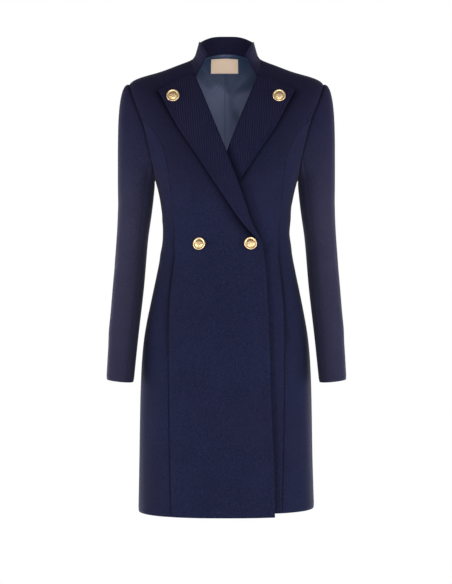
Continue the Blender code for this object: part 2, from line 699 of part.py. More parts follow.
def main():
    for old in list(bpy.data.objects):
        bpy.data.objects.remove(old)
    coat = bpy.data.collections.new("double_breasted_coat")
    bpy.context.scene.collection.children.link(coat)
    wool = finish("navy_wool", (0.013, 0.017, 0.055), 0.85)
    satin = finish("blue_satin", (0.030, 0.060, 0.110), 0.40)
    ribbon = finish("cream_ribbon", (0.74, 0.60, 0.47), 0.60)
    gold = finish("gold_metal", (0.80, 0.55, 0.24), 0.28, 1.0)
    body_panels(coat, wool)
    lapels(coat, wool)
    collar(coat, wool)
    sleeves(coat, wool)
    lining(coat, satin)
    neck_label(coat, ribbon)
    buttons(coat, gold)


main()
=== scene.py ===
"""A fitted, knee-length, double-breasted wool coat with long sleeves, hollow, as it is worn.

Metres, +Z up. The wearer faces -Y, so their right side is at -X and their left side at +X. Each cloth
piece is a thin shell with rounded edges on the form of its CAD wall, with its listed creases laid on.
"""

import math
from functools import reduce

import bpy
import numpy as np
from mathutils import Matrix, Vector


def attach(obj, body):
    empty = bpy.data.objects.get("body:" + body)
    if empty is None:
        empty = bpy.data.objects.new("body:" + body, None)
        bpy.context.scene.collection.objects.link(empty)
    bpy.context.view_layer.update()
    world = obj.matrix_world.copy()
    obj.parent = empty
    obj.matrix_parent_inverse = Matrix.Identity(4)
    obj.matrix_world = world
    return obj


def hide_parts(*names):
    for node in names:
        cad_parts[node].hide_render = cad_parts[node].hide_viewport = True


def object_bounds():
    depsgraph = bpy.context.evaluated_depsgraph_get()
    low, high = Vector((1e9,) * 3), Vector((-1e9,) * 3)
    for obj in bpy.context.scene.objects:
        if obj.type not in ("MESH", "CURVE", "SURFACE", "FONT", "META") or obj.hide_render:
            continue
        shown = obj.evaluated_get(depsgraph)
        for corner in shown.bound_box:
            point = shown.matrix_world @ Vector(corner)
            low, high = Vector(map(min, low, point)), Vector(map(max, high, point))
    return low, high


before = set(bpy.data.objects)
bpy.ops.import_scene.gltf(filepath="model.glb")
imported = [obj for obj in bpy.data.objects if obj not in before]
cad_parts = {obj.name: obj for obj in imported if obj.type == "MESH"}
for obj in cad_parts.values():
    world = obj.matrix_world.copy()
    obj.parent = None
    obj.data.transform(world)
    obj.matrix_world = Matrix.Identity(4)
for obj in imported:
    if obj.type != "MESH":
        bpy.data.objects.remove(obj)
cad_low, cad_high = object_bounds()
scene = bpy.context.scene

# --- The studio ------------------------------------------------------------------------------
# A pale floor well below the hem, where the wearer would stand, and an even white surround. Broad
# soft lights stand in front, at both sides and behind, and a small one hangs between the lapels.
CAMERA_DISTANCE = 3.4
SEEN_HEIGHT = 1.1972  # how much of the middle plane the view takes in
AIM_DROP, AIM_ASIDE = 0.0428, -0.0008  # how far the camera looks from the coat's middle
HEM_TO_FLOOR = 0.46
SENSOR = 36.0


def placed(name, data):
    """A new object in the scene, of a mesh, a lamp or a camera."""
    made = bpy.data.objects.new(name, data)
    scene.collection.objects.link(made)
    return made


camera = placed("camera", bpy.data.cameras.new("camera"))
camera.data.sensor_width = SENSOR
camera.data.lens = SENSOR * CAMERA_DISTANCE / SEEN_HEIGHT
camera.location = (AIM_ASIDE, -CAMERA_DISTANCE, (cad_low.z + cad_high.z) / 2 - AIM_DROP)
camera.rotation_euler = (math.radians(90), 0, 0)
scene.camera = camera
scene.view_settings.view_transform = "Standard"

WAIST, NAPE = (0.0, 0.0, -0.35), (0.0, 0.09, -0.13)  # what the lights are turned to
for name, place, aim, size, power in (
    ("front_light", (0.35, -2.9, -0.5), WAIST, 1.1, 18.5),
    ("right_side_light", (-2.3, -0.62, -0.6), WAIST, 1.3, 30.0),
    ("left_side_light", (2.3, -0.62, -0.6), WAIST, 1.3, 31.0),
    ("low_light", (0.1, -2.2, -1.15), WAIST, 1.2, 15.0),
    ("right_rim_light", (-1.25, 1.5, -1.00), WAIST, 0.6, 21.0),
    ("left_rim_light", (1.25, 1.5, -1.00), WAIST, 0.6, 13.0),
    ("neck_light", (0.02, -0.02, -0.25), NAPE, 0.07, 0.075),
):
    lamp = placed(name, bpy.data.lights.new(name, "AREA"))
    lamp.data.energy, lamp.data.size, lamp.location = power, size, place
    lamp.rotation_euler = (Vector(aim) - Vector(place)).to_track_quat("-Z", "Y").to_euler()


class Wire:
    """A shader socket that carries a number, so that a sum written on it adds Math nodes."""

    def __init__(self, surface, socket):
        self.surface, self.socket = surface, socket

    def __add__(self, other):
        return self.surface.math("ADD", self, other)

    def __sub__(self, other):
        return self.surface.math("SUBTRACT", self, other)

    def __rsub__(self, other):
        return self.surface.math("SUBTRACT", other, self)

    def __mul__(self, other):
        return self.surface.math("MULTIPLY", self, other)

    __radd__, __rmul__ = __add__, __mul__

    def sine(self):
        return self.surface.math("SINE", self)

    def between(self, low, high):
        """From 0 at low to 1 at high, and level outside them."""
        ends = {"Value": self, "From Min": low, "From Max": high}
        return self.surface.node("ShaderNodeMapRange", {"clamp": True}, ends)


class Surface:
    """One material, or the surround. All its nodes come from node()."""

    def __init__(self, name, home=bpy.data.materials, shader="Principled BSDF", **values):
        self.owner = home.new(name)
        self.owner.use_nodes = True
        self.tree = self.owner.node_tree
        self.shader = self.tree.nodes[shader]
        self.finish(**values)

    def node(self, kind, settings=None, inputs=None, output=0):
        made = self.tree.nodes.new(kind)
        for name, value in (settings or {}).items():
            if name == "stops":
                while len(made.color_ramp.elements) < len(value):
                    made.color_ramp.elements.new(0.5)
                for stop, (place, shade) in zip(made.color_ramp.elements, value):
                    stop.position, stop.color = place, (shade, shade, shade, 1.0)
            else:
                setattr(made, name, value)
        for name, value in (inputs or {}).items():
            self.join(made.inputs[name], value)
        return Wire(self, made.outputs[output])

    def math(self, operation, *values):
        return self.node("ShaderNodeMath", {"operation": operation}, dict(enumerate(values)))

    def join(self, socket, value):
        if isinstance(value, Wire):
            self.tree.links.new(value.socket, socket)
        else:
            socket.default_value = value

    def coordinates(self, kind="Object"):
        return self.node("ShaderNodeTexCoord", output=kind)

    def parts(self, kind="Object"):
        """The x, y and z of the coordinates, each on its own."""
        split = self.node("ShaderNodeSeparateXYZ", None, {0: self.coordinates(kind)})
        return [Wire(self, socket) for socket in split.socket.node.outputs]

    def shade(self):
        """How much shade is painted on the cloth, from the mesh's own attribute."""
        return self.node("ShaderNodeAttribute", {"attribute_name": "deep"}, None, "Fac")

    def noise(self, place, scale, detail=2.0, roughness=0.5, distortion=0.0):
        values = {"Scale": scale, "Detail": detail, "Roughness": roughness, "Distortion": distortion}
        return self.node("ShaderNodeTexNoise", None, {"Vector": place, **values})

    def stretched(self, place, scale):
        """The coordinates scaled by three numbers."""
        return self.node("ShaderNodeVectorMath", {"operation": "MULTIPLY"}, {0: place, 1: scale})

    def mixed(self, share, first, second):
        """From one colour at 0 to another at 1."""
        return self.node("ShaderNodeMix", {"data_type": "RGBA"}, {0: share, 6: first, 7: second}, 2)

    def bump(self, height, strength, depth):
        values = {"Height": height, "Strength": strength, "Distance": depth}
        return self.node("ShaderNodeBump", None, values)

    def finish(self, **links):
        for socket, value in links.items():
            self.join(self.shader.inputs[socket.replace("_", " ")], value)
        return self.owner


SURROUND = [(0.5, 1.0), (0.6, 1.0), (0.8, 0.3), (1.0, 0.18)]  # height and white, dim overhead
surround = Surface("white_surround", bpy.data.worlds, "Background")
upright = surround.parts("Generated")[2].between(-1.0, 1.0)
dimmed = surround.node("ShaderNodeValToRGB", {"stops": SURROUND}, {"Fac": upright})
scene.world = surround.finish(Color=dimmed)

# The floor is matt near the coat and turns into the plain white of the surround further off.
FLOOR_RADIUS, FLOOR_CORNERS = 30.0, 96
WHITE_FROM, WHITE_BY = 0.5, 1.7  # how far from the coat the floor starts and ends turning white
bpy.ops.mesh.primitive_circle_add(vertices=FLOOR_CORNERS, radius=FLOOR_RADIUS, fill_type="NGON")
floor = bpy.context.object
floor.name = "floor"
floor.data.transform(Matrix.Translation((0, 0, cad_low.z - HEM_TO_FLOOR)))
pale = Surface("pale_floor", Base_Color=(0.9, 0.9, 0.9, 1), Roughness=0.9, Specular_IOR_Level=0.1)
near = Wire(pale, pale.shader.outputs[0])
glow = pale.node("ShaderNodeEmission", None, {"Color": (1, 1, 1, 1), "Strength": 1.0})
away = pale.node("ShaderNodeVectorMath", {"operation": "LENGTH"}, {0: pale.coordinates()}, "Value")
blend = pale.node("ShaderNodeMixShader", None, {0: away.between(WHITE_FROM, WHITE_BY), 1: near, 2: glow})
pale.join(pale.tree.nodes["Material Output"].inputs[0], blend)
floor.data.materials.append(pale.owner)

# --- The fronts ------------------------------------------------------------------------------
# The right front laps over the left and reaches far past the middle. Each is one panel of felted
# navy wool from the neck to the hem, with its outer edge on the armhole and the princess seam.
CLOTH = 0.002
SEAM = 0.00002  # the gap between two pieces sewn together
HEM_RIGHT, HEM_LEFT = 0.9225, 0.915  # levels of the hem at the two side seams
SHOULDER_TIP_LEVEL, NECK_LEVEL = 0.135, 0.06
COLLAR_POINT = (0.061, -0.038)  # x, z where the collar's front edge meets the roll line
ROLL_BREAK = (-0.071, -0.37)  # x, z where the roll line ends
ROLL_ROOM = 0.0048  # how far the front stops short of the lapel's roll
ROLL_FOOT, ROLL_HEAD = (-0.004, 0.01), (0.038, 0.046)  # where that room begins and ends
LAP_GAP = 0.0036  # how far the left front sinks under the right one
LAPEL_LAP_GAP = 0.005  # and how much further under the right lapel
UNDER_LAPEL_TOP, UNDER_LAPEL_EASE = -0.375, 0.025
LAP_EASE, LAP_EDGE = 0.013, 0.001  # over what width the cloth sinks, from just inside the edge
SIDE, BACK = math.pi / 2, math.pi  # angles round the body from the centre front
HANDS = (("right", -1), ("left", 1))

# Rings of the body: level, z at the side and the back, half width, depth ahead and behind, roundness.
BODY = [
    (0.0216, 0.0370, 0.0570, 0.0560, 0.0650, 0.060, 2.00),  # collar top
    (0.0400, 0.0150, 0.0390, 0.0622, 0.0640, 0.063, 2.00),
    (0.0600, 0.0010, 0.0220, 0.0720, 0.0650, 0.068, 2.00),  # neck seam
    (0.0770, -0.0095, 0.0020, 0.0980, 0.0740, 0.077, 2.05),
    (0.1000, -0.0260, -0.0290, 0.1400, 0.0860, 0.086, 2.15),
    (0.1350, -0.0510, -0.0720, 0.1993, 0.1000, 0.095, 2.30),  # shoulder tip
    (0.1800, -0.1300, -0.1400, 0.1900, 0.1130, 0.101, 2.40),
    (0.2250, -0.2050, -0.2080, 0.1640, 0.1210, 0.102, 2.40),
    (0.2620, -0.2460, -0.2500, 0.1468, 0.1235, 0.099, 2.30),  # underarm
    (0.3100, -0.2980, -0.3000, 0.1345, 0.1160, 0.088, 2.20),
    (0.3700, -0.3650, -0.3660, 0.1308, 0.1040, 0.077, 2.20),  # waist
    (0.4240, -0.4240, -0.4240, 0.1395, 0.1030, 0.081, 2.20),
    (0.4920, -0.4920, -0.4920, 0.1538, 0.1070, 0.100, 2.20),
    (0.5600, -0.5600, -0.5600, 0.1664, 0.1110, 0.115, 2.25),  # hip
    (0.6620, -0.6620, -0.6620, 0.1738, 0.1160, 0.121, 2.35),
    (0.8000, -0.8000, -0.8000, 0.1766, 0.1220, 0.122, 2.40),
    (0.9225, -0.9225, -0.9225, 0.1798, 0.1290, 0.125, 2.40),
]
# Seams and edges are pairs of z and x. An armhole and a princess seam have a front and a back line.
ARMHOLE_SEAM = (
    [
        (-0.051, 0.1993), (-0.0937, 0.1856), (-0.1317, 0.1709), (-0.1776, 0.1589), (-0.2231, 0.1494),
        (-0.246, 0.1468),
    ],
    [
        (-0.051, 0.1993), (-0.095, 0.185), (-0.135, 0.1735), (-0.18, 0.1615), (-0.2231, 0.1505),
        (-0.246, 0.1468),
    ],
)
PRINCESS_SEAM = (
    [
        (-0.126, 0.1716), (-0.155, 0.1445), (-0.187, 0.127), (-0.235, 0.116), (-0.3, 0.1093),
        (-0.417, 0.1062), (-0.455, 0.1105), (-0.515, 0.1163), (-0.591, 0.1169), (-0.74, 0.1148),
        (-0.9225, 0.1108),
    ],
    [
        (-0.145, 0.1707), (-0.175, 0.14), (-0.22, 0.114), (-0.3, 0.09), (-0.37, 0.08), (-0.45, 0.084),
        (-0.56, 0.093), (-0.74, 0.097), (-0.9225, 0.1),
    ],
)
FRONT_NECK = [(0.001, 0.072), (-0.016, 0.0698), (-0.038, 0.061)]
ROLL_LINE = [
    (-0.038, 0.061), (-0.12, 0.0284), (-0.2, -0.0034), (-0.26, -0.0263), (-0.31, -0.0437),
    (-0.34, -0.0548), (-0.37, -0.071),
]
FRONT_EDGE = [
    (-0.37, -0.071), (-0.3981, -0.0747), (-0.4419, -0.0787), (-0.4915, -0.0818), (-0.6241, -0.0866),
    (-0.7229, -0.0896), (-0.8211, -0.0942), (-0.9225, -0.0958),
]
# Rows and columns of each panel's grid. Panels that share a seam share its rows.
NECK_ROWS, CHEST_ROWS, BUST_ROWS, SKIRT_ROWS = 12, 26, 46, 104
UPPER_ROWS = NECK_ROWS + CHEST_ROWS
BACK_NECK_ROWS = 24
FRONT_COLUMNS, SIDE_COLUMNS, BACK_COLUMNS = 74, 28, 50
CHEST_ROW, BACK_CHEST_ROW = -0.165, -0.12
FRONT_WAIST_ROW, SIDE_WAIST_ROW, BACK_WAIST_ROW = -0.365, -0.385, -0.37
BREAK_SHARE = 0.3
LEVEL_STEPS, LINE_STEPS = 2500, 400  # how finely the form and its lines are searched
LOWER = np.r_[np.linspace(0, BREAK_SHARE, BUST_ROWS + 1), np.linspace(BREAK_SHARE, 1, SKIRT_ROWS + 1)[1:]]


def shares(count):
    """Even shares from 0 to 1, with count steps between them."""
    return np.linspace(0, 1, count + 1)


def smooth(at, values):
    """A natural cubic spline through values at rising places, as a function."""
    at, values = np.array(at, float), np.array(values, float)
    step, last = np.diff(at), len(at) - 1
    slope = np.diff(values) / step
    system, right = np.eye(last + 1), np.zeros(last + 1)
    for i in range(1, last):
        system[i, i - 1 : i + 2] = step[i - 1], 2 * (step[i - 1] + step[i]), step[i]
        right[i] = 6 * (slope[i] - slope[i - 1])
    bend = np.linalg.solve(system, right)

    def curve(place):
        place = np.clip(place, at[0], at[-1])
        i = np.clip(np.searchsorted(at, place) - 1, 0, last - 1)
        h = step[i]
        b = (place - at[i]) / h
        a = 1 - b
        swell = ((a**3 - a) * bend[i] + (b**3 - b) * bend[i + 1]) * h * h / 6
        return a * values[i] + b * values[i + 1] + swell

    return curve


def columns_of(table):
    """Each further column of a table as a smooth function of its first."""
    at, *rest = np.array(sorted(table)).T
    return [smooth(at, values) for values in rest]


def line_x(line, z):
    """How far out a line of z and x lies at each height."""
    return columns_of(line)[0](z)


def unit(vectors):
    """The vectors made one long."""
    return vectors / np.maximum(np.linalg.norm(vectors, axis=-1, keepdims=True), 1e-9)


def square_to(way, line):
    """The way turned square to a line's own way, and made one long."""
    return unit(way - line * np.sum(way * line, axis=-1, keepdims=True))


def ease(value, start, end):
    """A smooth step from 0 at start to 1 at end."""
    share = np.clip((value - start) / (end - start), 0, 1)
    return share * share * (3 - 2 * share)


def hump(value, middle, width):
    """A soft hump, 1 at its middle."""
    return np.exp(-(((value - middle) / width) ** 2))


def fading(away, reach, power=1.3):
    """From 1 on a line down to nothing well past reach."""
    return np.exp(-((away / reach) ** power))


def deepest(*shares):
    """The greatest of several shares at each point."""
    return reduce(np.maximum, shares)


side_z, back_z, half_width, depth_ahead, depth_behind, roundness = columns_of(BODY)


def body_point(places):
    """Points of the coat's outer surface at places, whose last axis is angle, level."""
    angle, level = places[..., 0], places[..., 1]
    width, power = half_width(level), roundness(level)
    ahead = np.cos(angle) > 0
    depth = np.where(ahead, depth_ahead(level), depth_behind(level))
    across, along_it = np.abs(np.sin(angle)) / width, np.abs(np.cos(angle)) / depth
    radius = (across**power + along_it**power) ** (-1 / power)
    x, y = radius * np.sin(angle), -radius * np.cos(angle)
    sideways = np.clip(np.abs(x) / width, 0, 1) ** power
    z = sideways * side_z(level) + (1 - sideways) * np.where(ahead, -level, back_z(level))
    return np.stack([x, y, z], axis=-1)


def body_outward(places):
    """The direction straight out of the cloth at places."""
    turn, drop = np.array([1e-3, 0.0]), np.array([0.0, 1e-3])
    round_it = body_point(places + turn) - body_point(places - turn)
    down_it = body_point(places + drop) - body_point(places - drop)
    return unit(np.cross(down_it, round_it))


def place_at(x, z, behind=False):
    """The place on the front, or the back, of the body that stands at x and z."""
    x, z = np.broadcast_arrays(np.asarray(x, float), np.asarray(z, float))
    levels = np.linspace(BODY[0][0], BODY[-1][0], LEVEL_STEPS)
    width, power, at_side = half_width(levels), roundness(levels), side_z(levels)
    at_end, depth = (back_z(levels), depth_behind) if behind else (-levels, depth_ahead)
    places = np.empty(x.shape + (2,))
    for i in np.ndindex(x.shape):
        sideways = np.clip(abs(x[i]) / width, 0, 1) ** power
        level = np.interp(-z[i], -(sideways * at_side + (1 - sideways) * at_end), levels)
        w, p = half_width(level), roundness(level)
        y = depth(level) * max(1 - min(abs(x[i]) / w, 1) ** p, 0) ** (1 / p)
        places[i] = math.atan2(x[i], -y if behind else y), level
    return places


def run_of(points):
    """The share of a line's length at each of its points."""
    steps = np.linalg.norm(np.diff(points, axis=0), axis=1)
    run = np.concatenate([[0], np.cumsum(steps)])
    return run / run[-1]


def along(places, at):
    """Places at shares of the length of a line of places."""
    run = run_of(body_point(places))
    return np.stack([np.interp(at, run, line) for line in places.T], axis=1)


ARMHOLE = []  # the front and the back one, as places from the shoulder tip to the underarm
JUNCTION = []  # the share of its length at which the princess seam leaves it
for behind in (False, True):
    top, bottom = ARMHOLE_SEAM[behind][0][0], ARMHOLE_SEAM[behind][-1][0]
    z = top + (bottom - top) * np.sin(np.linspace(0, SIDE, LINE_STEPS))
    places = place_at(line_x(ARMHOLE_SEAM[behind], z), z, behind)
    places[0] = SIDE, SHOULDER_TIP_LEVEL
    places[-1, 0] = SIDE
    points = body_point(places)
    ARMHOLE.append(places)
    JUNCTION.append(float(np.interp(-PRINCESS_SEAM[behind][0][0], -points[:, 2], run_of(points))))
UNDERARM_LEVEL = ARMHOLE[0][-1, 1]


def hem_level(angle):
    """The hem hangs a little higher on the wearer's left than on the right."""
    return (HEM_RIGHT + HEM_LEFT) / 2 - (HEM_RIGHT - HEM_LEFT) / 2 * np.sin(angle)


def lower_rows(chest, waist, hem):
    """The heights of a panel's lower rows, from the chest past the waist to the hem."""
    return np.interp(LOWER, [0, BREAK_SHARE, 1], [chest, waist, hem])


def princess(behind, side):
    """A princess seam from the armhole to the hem."""
    line, waist = PRINCESS_SEAM[behind], (FRONT_WAIST_ROW, BACK_WAIST_ROW)[behind]
    z = lower_rows(line[0][0], waist, -hem_level(side * SIDE))
    places = place_at(line_x(line, z), z, behind)
    places[0] = along(ARMHOLE[behind], [JUNCTION[behind]])[0]
    return places


def panel_outer(behind, side):
    """The armhole and the princess seam, on which a front or a back ends."""
    upper = along(ARMHOLE[behind], JUNCTION[behind] * shares(UPPER_ROWS))[:-1]
    return np.concatenate([upper, princess(behind, side)])


def front_free_edge(z):
    """How far out the front's free edge lies at each height, negative past the centre front."""
    neck, roll, skirt = (line_x(line, z) for line in (FRONT_NECK, ROLL_LINE, FRONT_EDGE))
    return np.where(z > COLLAR_POINT[1], neck, np.where(z > ROLL_BREAK[1], roll, skirt))


def front_inner_rows(hem_z):
    """The heights of the rows where they meet the front's free edge."""
    neck = np.linspace(FRONT_NECK[0][0], COLLAR_POINT[1], NECK_ROWS + 1)
    chest = np.linspace(COLLAR_POINT[1], CHEST_ROW, CHEST_ROWS + 1)[1:]
    return np.concatenate([neck, chest, lower_rows(CHEST_ROW, ROLL_BREAK[1], hem_z)[1:]])


def crowded(count, how=0.8):
    """Shares from 0 to 1 that crowd towards both ends, where the cloth turns into its seams."""
    share = shares(count)
    return share - how * np.sin(2 * math.pi * share) / (2 * math.pi)


def ruled(inner, outer, u):
    """Places in straight rows from one line to another."""
    u = u[None, :, None]
    return (1 - u) * inner[:, None] + u * outer[:, None]


def filled(inner, outer, top, bottom, u, v):
    """Places that fill the panel between four lines of places that meet at their ends."""
    down, u, v = ruled(inner, outer, u), u[None, :, None], v[:, None, None]
    over = (1 - v) * top[None] + v * bottom[None]
    corners = (1 - v) * ((1 - u) * top[0] + u * top[-1]) + v * ((1 - u) * bottom[0] + u * bottom[-1])
    return down + over - corners


def front_places(side):
    z = front_inner_rows(-hem_level(side * SIDE))
    rolled = ease(z - ROLL_BREAK[1], *ROLL_FOOT) * ease(-z, *ROLL_HEAD)
    inner = place_at(front_free_edge(z) + ROLL_ROOM * rolled, z)
    return ruled(inner, panel_outer(False, side), crowded(FRONT_COLUMNS))


def lap_under(points):
    """How far the left front and its lapel sink where the right front laps over them."""
    x, z = points[..., 0], points[..., 2]
    beyond = x + front_free_edge(np.minimum(z, COLLAR_POINT[1]))
    under_lapel = ease(z, UNDER_LAPEL_TOP - UNDER_LAPEL_EASE, UNDER_LAPEL_TOP)
    deep = LAP_GAP + LAPEL_LAP_GAP * under_lapel
    return deep * ease(-beyond, -LAP_EASE - LAP_EASE * under_lapel, -LAP_EDGE)


# A crease is a line across the cloth, seen from the front, the back or the wearer's left: a ridge
# where it rises, a trough where it sinks, fading out at both ends. Each row gives, in millimetres,
# its two ends, its width and its rise.
FRONT_CREASES = [
    # from the armholes to the bust
    (-148, -145, -108, -235, 13, -1.2), (-132, -190, -118, -265, 10, 0.7), (150, -150, 115, -228, 12, -1),
    (134, -205, 124, -280, 10, 0.7),
    # drawn in at the waist
    (-133, -338, -60, -362, 9, -0.9), (-134, -378, -70, -385, 11, 0.7), (-140, -410, -58, -400, 10, -0.9),
    (133, -342, 90, -364, 9, -0.9), (138, -406, 84, -396, 10, -0.9),
    # between the buttons
    (-30, -390, 35, -396, 8, -0.6),
    # beside the princess seams
    (-125, -425, -118, -600, 14, -2), (126, -420, 120, -570, 13, -1.8), (-98, -430, -96, -660, 15, 1.2),
    # the skirt's soft flutes
    (-56, -520, -62, -930, 26, 1.6), (-8, -450, -4, -840, 30, -1.4), (42, -560, 52, -930, 24, 2),
    (70, -405, 85, -820, 9, 1.3), (-150, -540, -156, -900, 20, -1.2), (148, -520, 154, -880, 20, -1.2),
]
BACK_CREASES = [
    # shoulder blades
    (-130, -165, -80, -250, 15, -1.6), (126, -160, 72, -240, 14, -1.4), (-118, -250, -96, -330, 12, 1),
    (120, -242, 98, -316, 12, 1.1),
    # drawn in at the waist
    (-115, -330, -5, -350, 11, -1.6), (-90, -356, 40, -368, 10, 1), (-25, -378, 110, -362, 11, -1.4),
    (20, -335, 112, -320, 10, -1.1), (-118, -406, -30, -396, 10, -1),
    # the skirt's flutes
    (-95, -470, -108, -930, 23, 2.4), (-48, -540, -50, -930, 20, -1.8), (12, -600, 18, -930, 24, 1.5),
    (56, -500, 62, -930, 19, -2), (104, -480, 118, -930, 24, 2.2),
]
SIDE_CREASES = [
    # below the arm
    (-50, -290, 30, -315, 10, -0.7), (50, -310, -35, -335, 9, 0.9),
    # waist
    (-60, -352, 30, -360, 10, -0.8), (55, -392, -25, -380, 10, 1), (-20, -470, -32, -930, 21, -1.7),
    (26, -500, 36, -930, 22, 1.9), (70, -560, 82, -930, 17, -1.3),
]
FACE_FADE, SIDE_FADE = (0.005, 0.05), (0.075, 0.12)  # where a table's creases take hold
RIGHT_SHIFT, RIGHT_SHARE = (0.012, 0.011), 0.9  # how the right side's creases differ from the left's
CREASE_FADE = 0.8  # below 1, a crease keeps its depth nearer to its ends


def crossed(across, height, creases):
    """How far out a table of creases moves the cloth, given how far across and how high it is."""
    moved = np.zeros(across.shape)
    for x, z, end_x, end_z, width, rise in np.array(creases) / 1000:
        run_x, run_z, away_x, away_z = end_x - x, end_z - z, across - x, height - z
        length = math.hypot(run_x, run_z)
        share = np.clip((away_x * run_x + away_z * run_z) / length**2, 0, 1)
        aside = (away_x * run_z - away_z * run_x) / length
        moved += rise * hump(aside, 0, width) * np.sin(math.pi * share) ** CREASE_FADE
    return moved


def creased(points):
    """How far out the coat's creases move the cloth at points of its body."""
    x, y, z = points[..., 0], points[..., 1], points[..., 2]
    front = crossed(x, z, FRONT_CREASES) * ease(-y, *FACE_FADE)
    back = crossed(x, z, BACK_CREASES) * ease(y, *FACE_FADE)
    left = crossed(y, z, SIDE_CREASES) * ease(x, *SIDE_FADE)
    right = crossed(RIGHT_SHIFT[0] - y, z + RIGHT_SHIFT[1], SIDE_CREASES) * ease(-x, *SIDE_FADE)
    return front + back + left + right * RIGHT_SHARE


def far_from_edges(points):
    """How far each point of a grid lies from its left, right, top and bottom lines."""
    far = []
    for axis in (1, 0):
        steps = np.linalg.norm(np.diff(points, axis=axis), axis=2)
        run = np.insert(np.cumsum(steps, axis=axis), 0, 0, axis=axis)
        far += [run, np.take(run, [-1], axis=axis) - run]
    return far


STEP_REACH = 0.008  # the width over which a step in from a seam is spread


def step_in(points, gaps, shut=1e-6):
    """The grid drawn in from its left, right, top and bottom lines, square to them.

    Within shut of its top and bottom lines, its sides meet their neighbours in full.
    """
    moved, distances = points.copy(), far_from_edges(points)
    open_here = 1 - hump(np.minimum(distances[2], distances[3]), 0, shut)[..., None]
    for line, (gap, distance) in enumerate(zip(gaps, distances)):
        lines = np.moveaxis(points, 1 - line // 2, 0)
        edge, inner = (0, 1) if line % 2 == 0 else (-1, -2)
        way = square_to(lines[inner] - lines[edge], unit(np.gradient(lines[edge], axis=0)))
        share = (np.clip(1 - distance / STEP_REACH, 0, 1) ** 2)[..., None]
        moved += np.expand_dims(way, 1 - line // 2) * gap * (open_here if line < 2 else 1) * share
    return moved


RIM = 4  # facets round an edge of cloth


def around(grid):
    """The points round a grid's outside, in order."""
    return np.concatenate([grid[0, :-1], grid[:-1, -1], grid[-1, :0:-1], grid[:0:-1, 0]])


def lay_flat(mesh, flat):
    """Give a mesh its UV map, from two numbers at each of its points."""
    corners = np.zeros(len(mesh.loops), np.int32)
    mesh.loops.foreach_get("vertex_index", corners)
    mesh.uv_layers.new(name="UVMap").data.foreach_set("uv", flat[corners].astype(np.float32).ravel())


def shell(name, outer, inner, cloth, lining=None, turned_up=0.0, flat=None, deep=None):
    """A closed piece of cloth between two grids of points, its edges rounded.

    The lining's material covers the inside, except for the last turned_up above its bottom line.
    flat gives the UV map's two numbers at each point of the grid, and deep how much shade is painted
    at the point, for lying down in a seam, close under an edge or elsewhere in shade, from 0 to 1.
    """
    rows, columns = outer.shape[:2]
    middle, half = (outer + inner) / 2, (outer - inner) / 2
    out = np.zeros_like(outer)
    for axis in (0, 1):
        lines, way = np.moveaxis(middle, axis, 0), np.moveaxis(out, axis, 0)
        for edge, inside in ((0, 1), (-1, -2)):
            way[edge] += square_to(lines[edge] - lines[inside], unit(np.gradient(lines[edge], axis=0)))
    ring_middle, ring_half, ring_out = around(middle), around(half), unit(around(out))
    index = np.arange(rows * columns).reshape(rows, columns)
    points, loops = [outer.reshape(-1, 3)], [around(index)]
    for k in range(1, RIM):
        turn = math.pi * k / RIM
        reach = np.linalg.norm(ring_half, axis=1, keepdims=True) * math.sin(turn)
        points.append(ring_middle + ring_half * math.cos(turn) + ring_out * reach)
        loops.append(index.size + (k - 1) * len(ring_out) + np.arange(len(ring_out)))
    start = index.size + (RIM - 1) * len(ring_out)
    points.append(inner.reshape(-1, 3))
    loops.append(start + around(index))
    a, b, c, d = index[:-1, :-1], index[:-1, 1:], index[1:, 1:], index[1:, :-1]
    face = np.stack([a, d, c, b], axis=-1).reshape(-1, 4)
    under = face[:, [0, 3, 2, 1]] + start
    rim = [
        np.stack([first, np.roll(first, -1), np.roll(second, -1), second], axis=-1)
        for first, second in zip(loops, loops[1:])
    ]
    faces = np.concatenate([face, under, *rim])
    i, j = rows // 2, columns // 2
    square = np.cross(outer[i, j] - outer[i - 1, j], outer[i, j] - outer[i, j - 1])
    if square @ half[i, j] < 0:
        faces = faces[:, ::-1]
    mesh = bpy.data.meshes.new(name)
    mesh.from_pydata(np.concatenate(points).tolist(), [], faces.tolist())
    mesh.shade_smooth()
    mesh.materials.append(cloth)
    if lining:
        mesh.materials.append(lining)
        up = far_from_edges(middle)[3].mean(axis=1)[:-1]
        marks = np.zeros(len(faces), np.int32)
        marks[len(face) : len(face) + len(under)] = np.repeat(up > turned_up, columns - 1)
        mesh.polygons.foreach_set("material_index", marks)

    def everywhere(values):
        """Values at the grid's points, repeated for the rim and the inside."""
        grid, edge = values.reshape(index.size, -1), around(values).reshape(len(ring_out), -1)
        return np.concatenate([grid, *[edge] * (RIM - 1), grid])

    if flat is not None:
        lay_flat(mesh, everywhere(flat))
    if deep is not None:
        values = everywhere(deep).astype(np.float32).ravel()
        mesh.attributes.new("deep", "FLOAT", "POINT").data.foreach_set("value", values)
    mesh.update()
    return placed(name, mesh)


SEAM_SINK, SEAM_REACH = 0.0008, 0.0065  # how far the cloth is drawn in along a sewn seam
HEM_SINK, HEM_REACH = 0.0008, 0.005
HEM_DEPTH = 0.04  # how far the wool turns up inside the hem
# Painted shade along the seams: how much, by how far down the seam is, and how wide that painted dark line
# is.
SEAM_PAINTED_SHADE = [(0.3, 0.1), (0.4, 0.42)]  # how dark a seam lies, by how far down it is
SEAM_LINE = 0.0013  # how wide that dark line is


def seam_sink(points, sewn):
    """How far the cloth is drawn in by the seams along its left, right, top and bottom lines."""
    distances = far_from_edges(points)
    sunk = sum(SEAM_SINK * hump(far, 0, SEAM_REACH) for far, line in zip(distances, sewn) if line)
    return sunk + HEM_SINK * hump(distances[3], 0, HEM_REACH) * (not sewn[3])


def seam_deep(points, sewn):
    """How much shade is painted along the seams at each point of a grid, from 0 to 1."""
    lines = [hump(far, 0, SEAM_LINE) for far, line in zip(far_from_edges(points), sewn) if line]
    return np.interp(-points[..., 2], *np.array(SEAM_PAINTED_SHADE).T) * np.max(lines, axis=0)


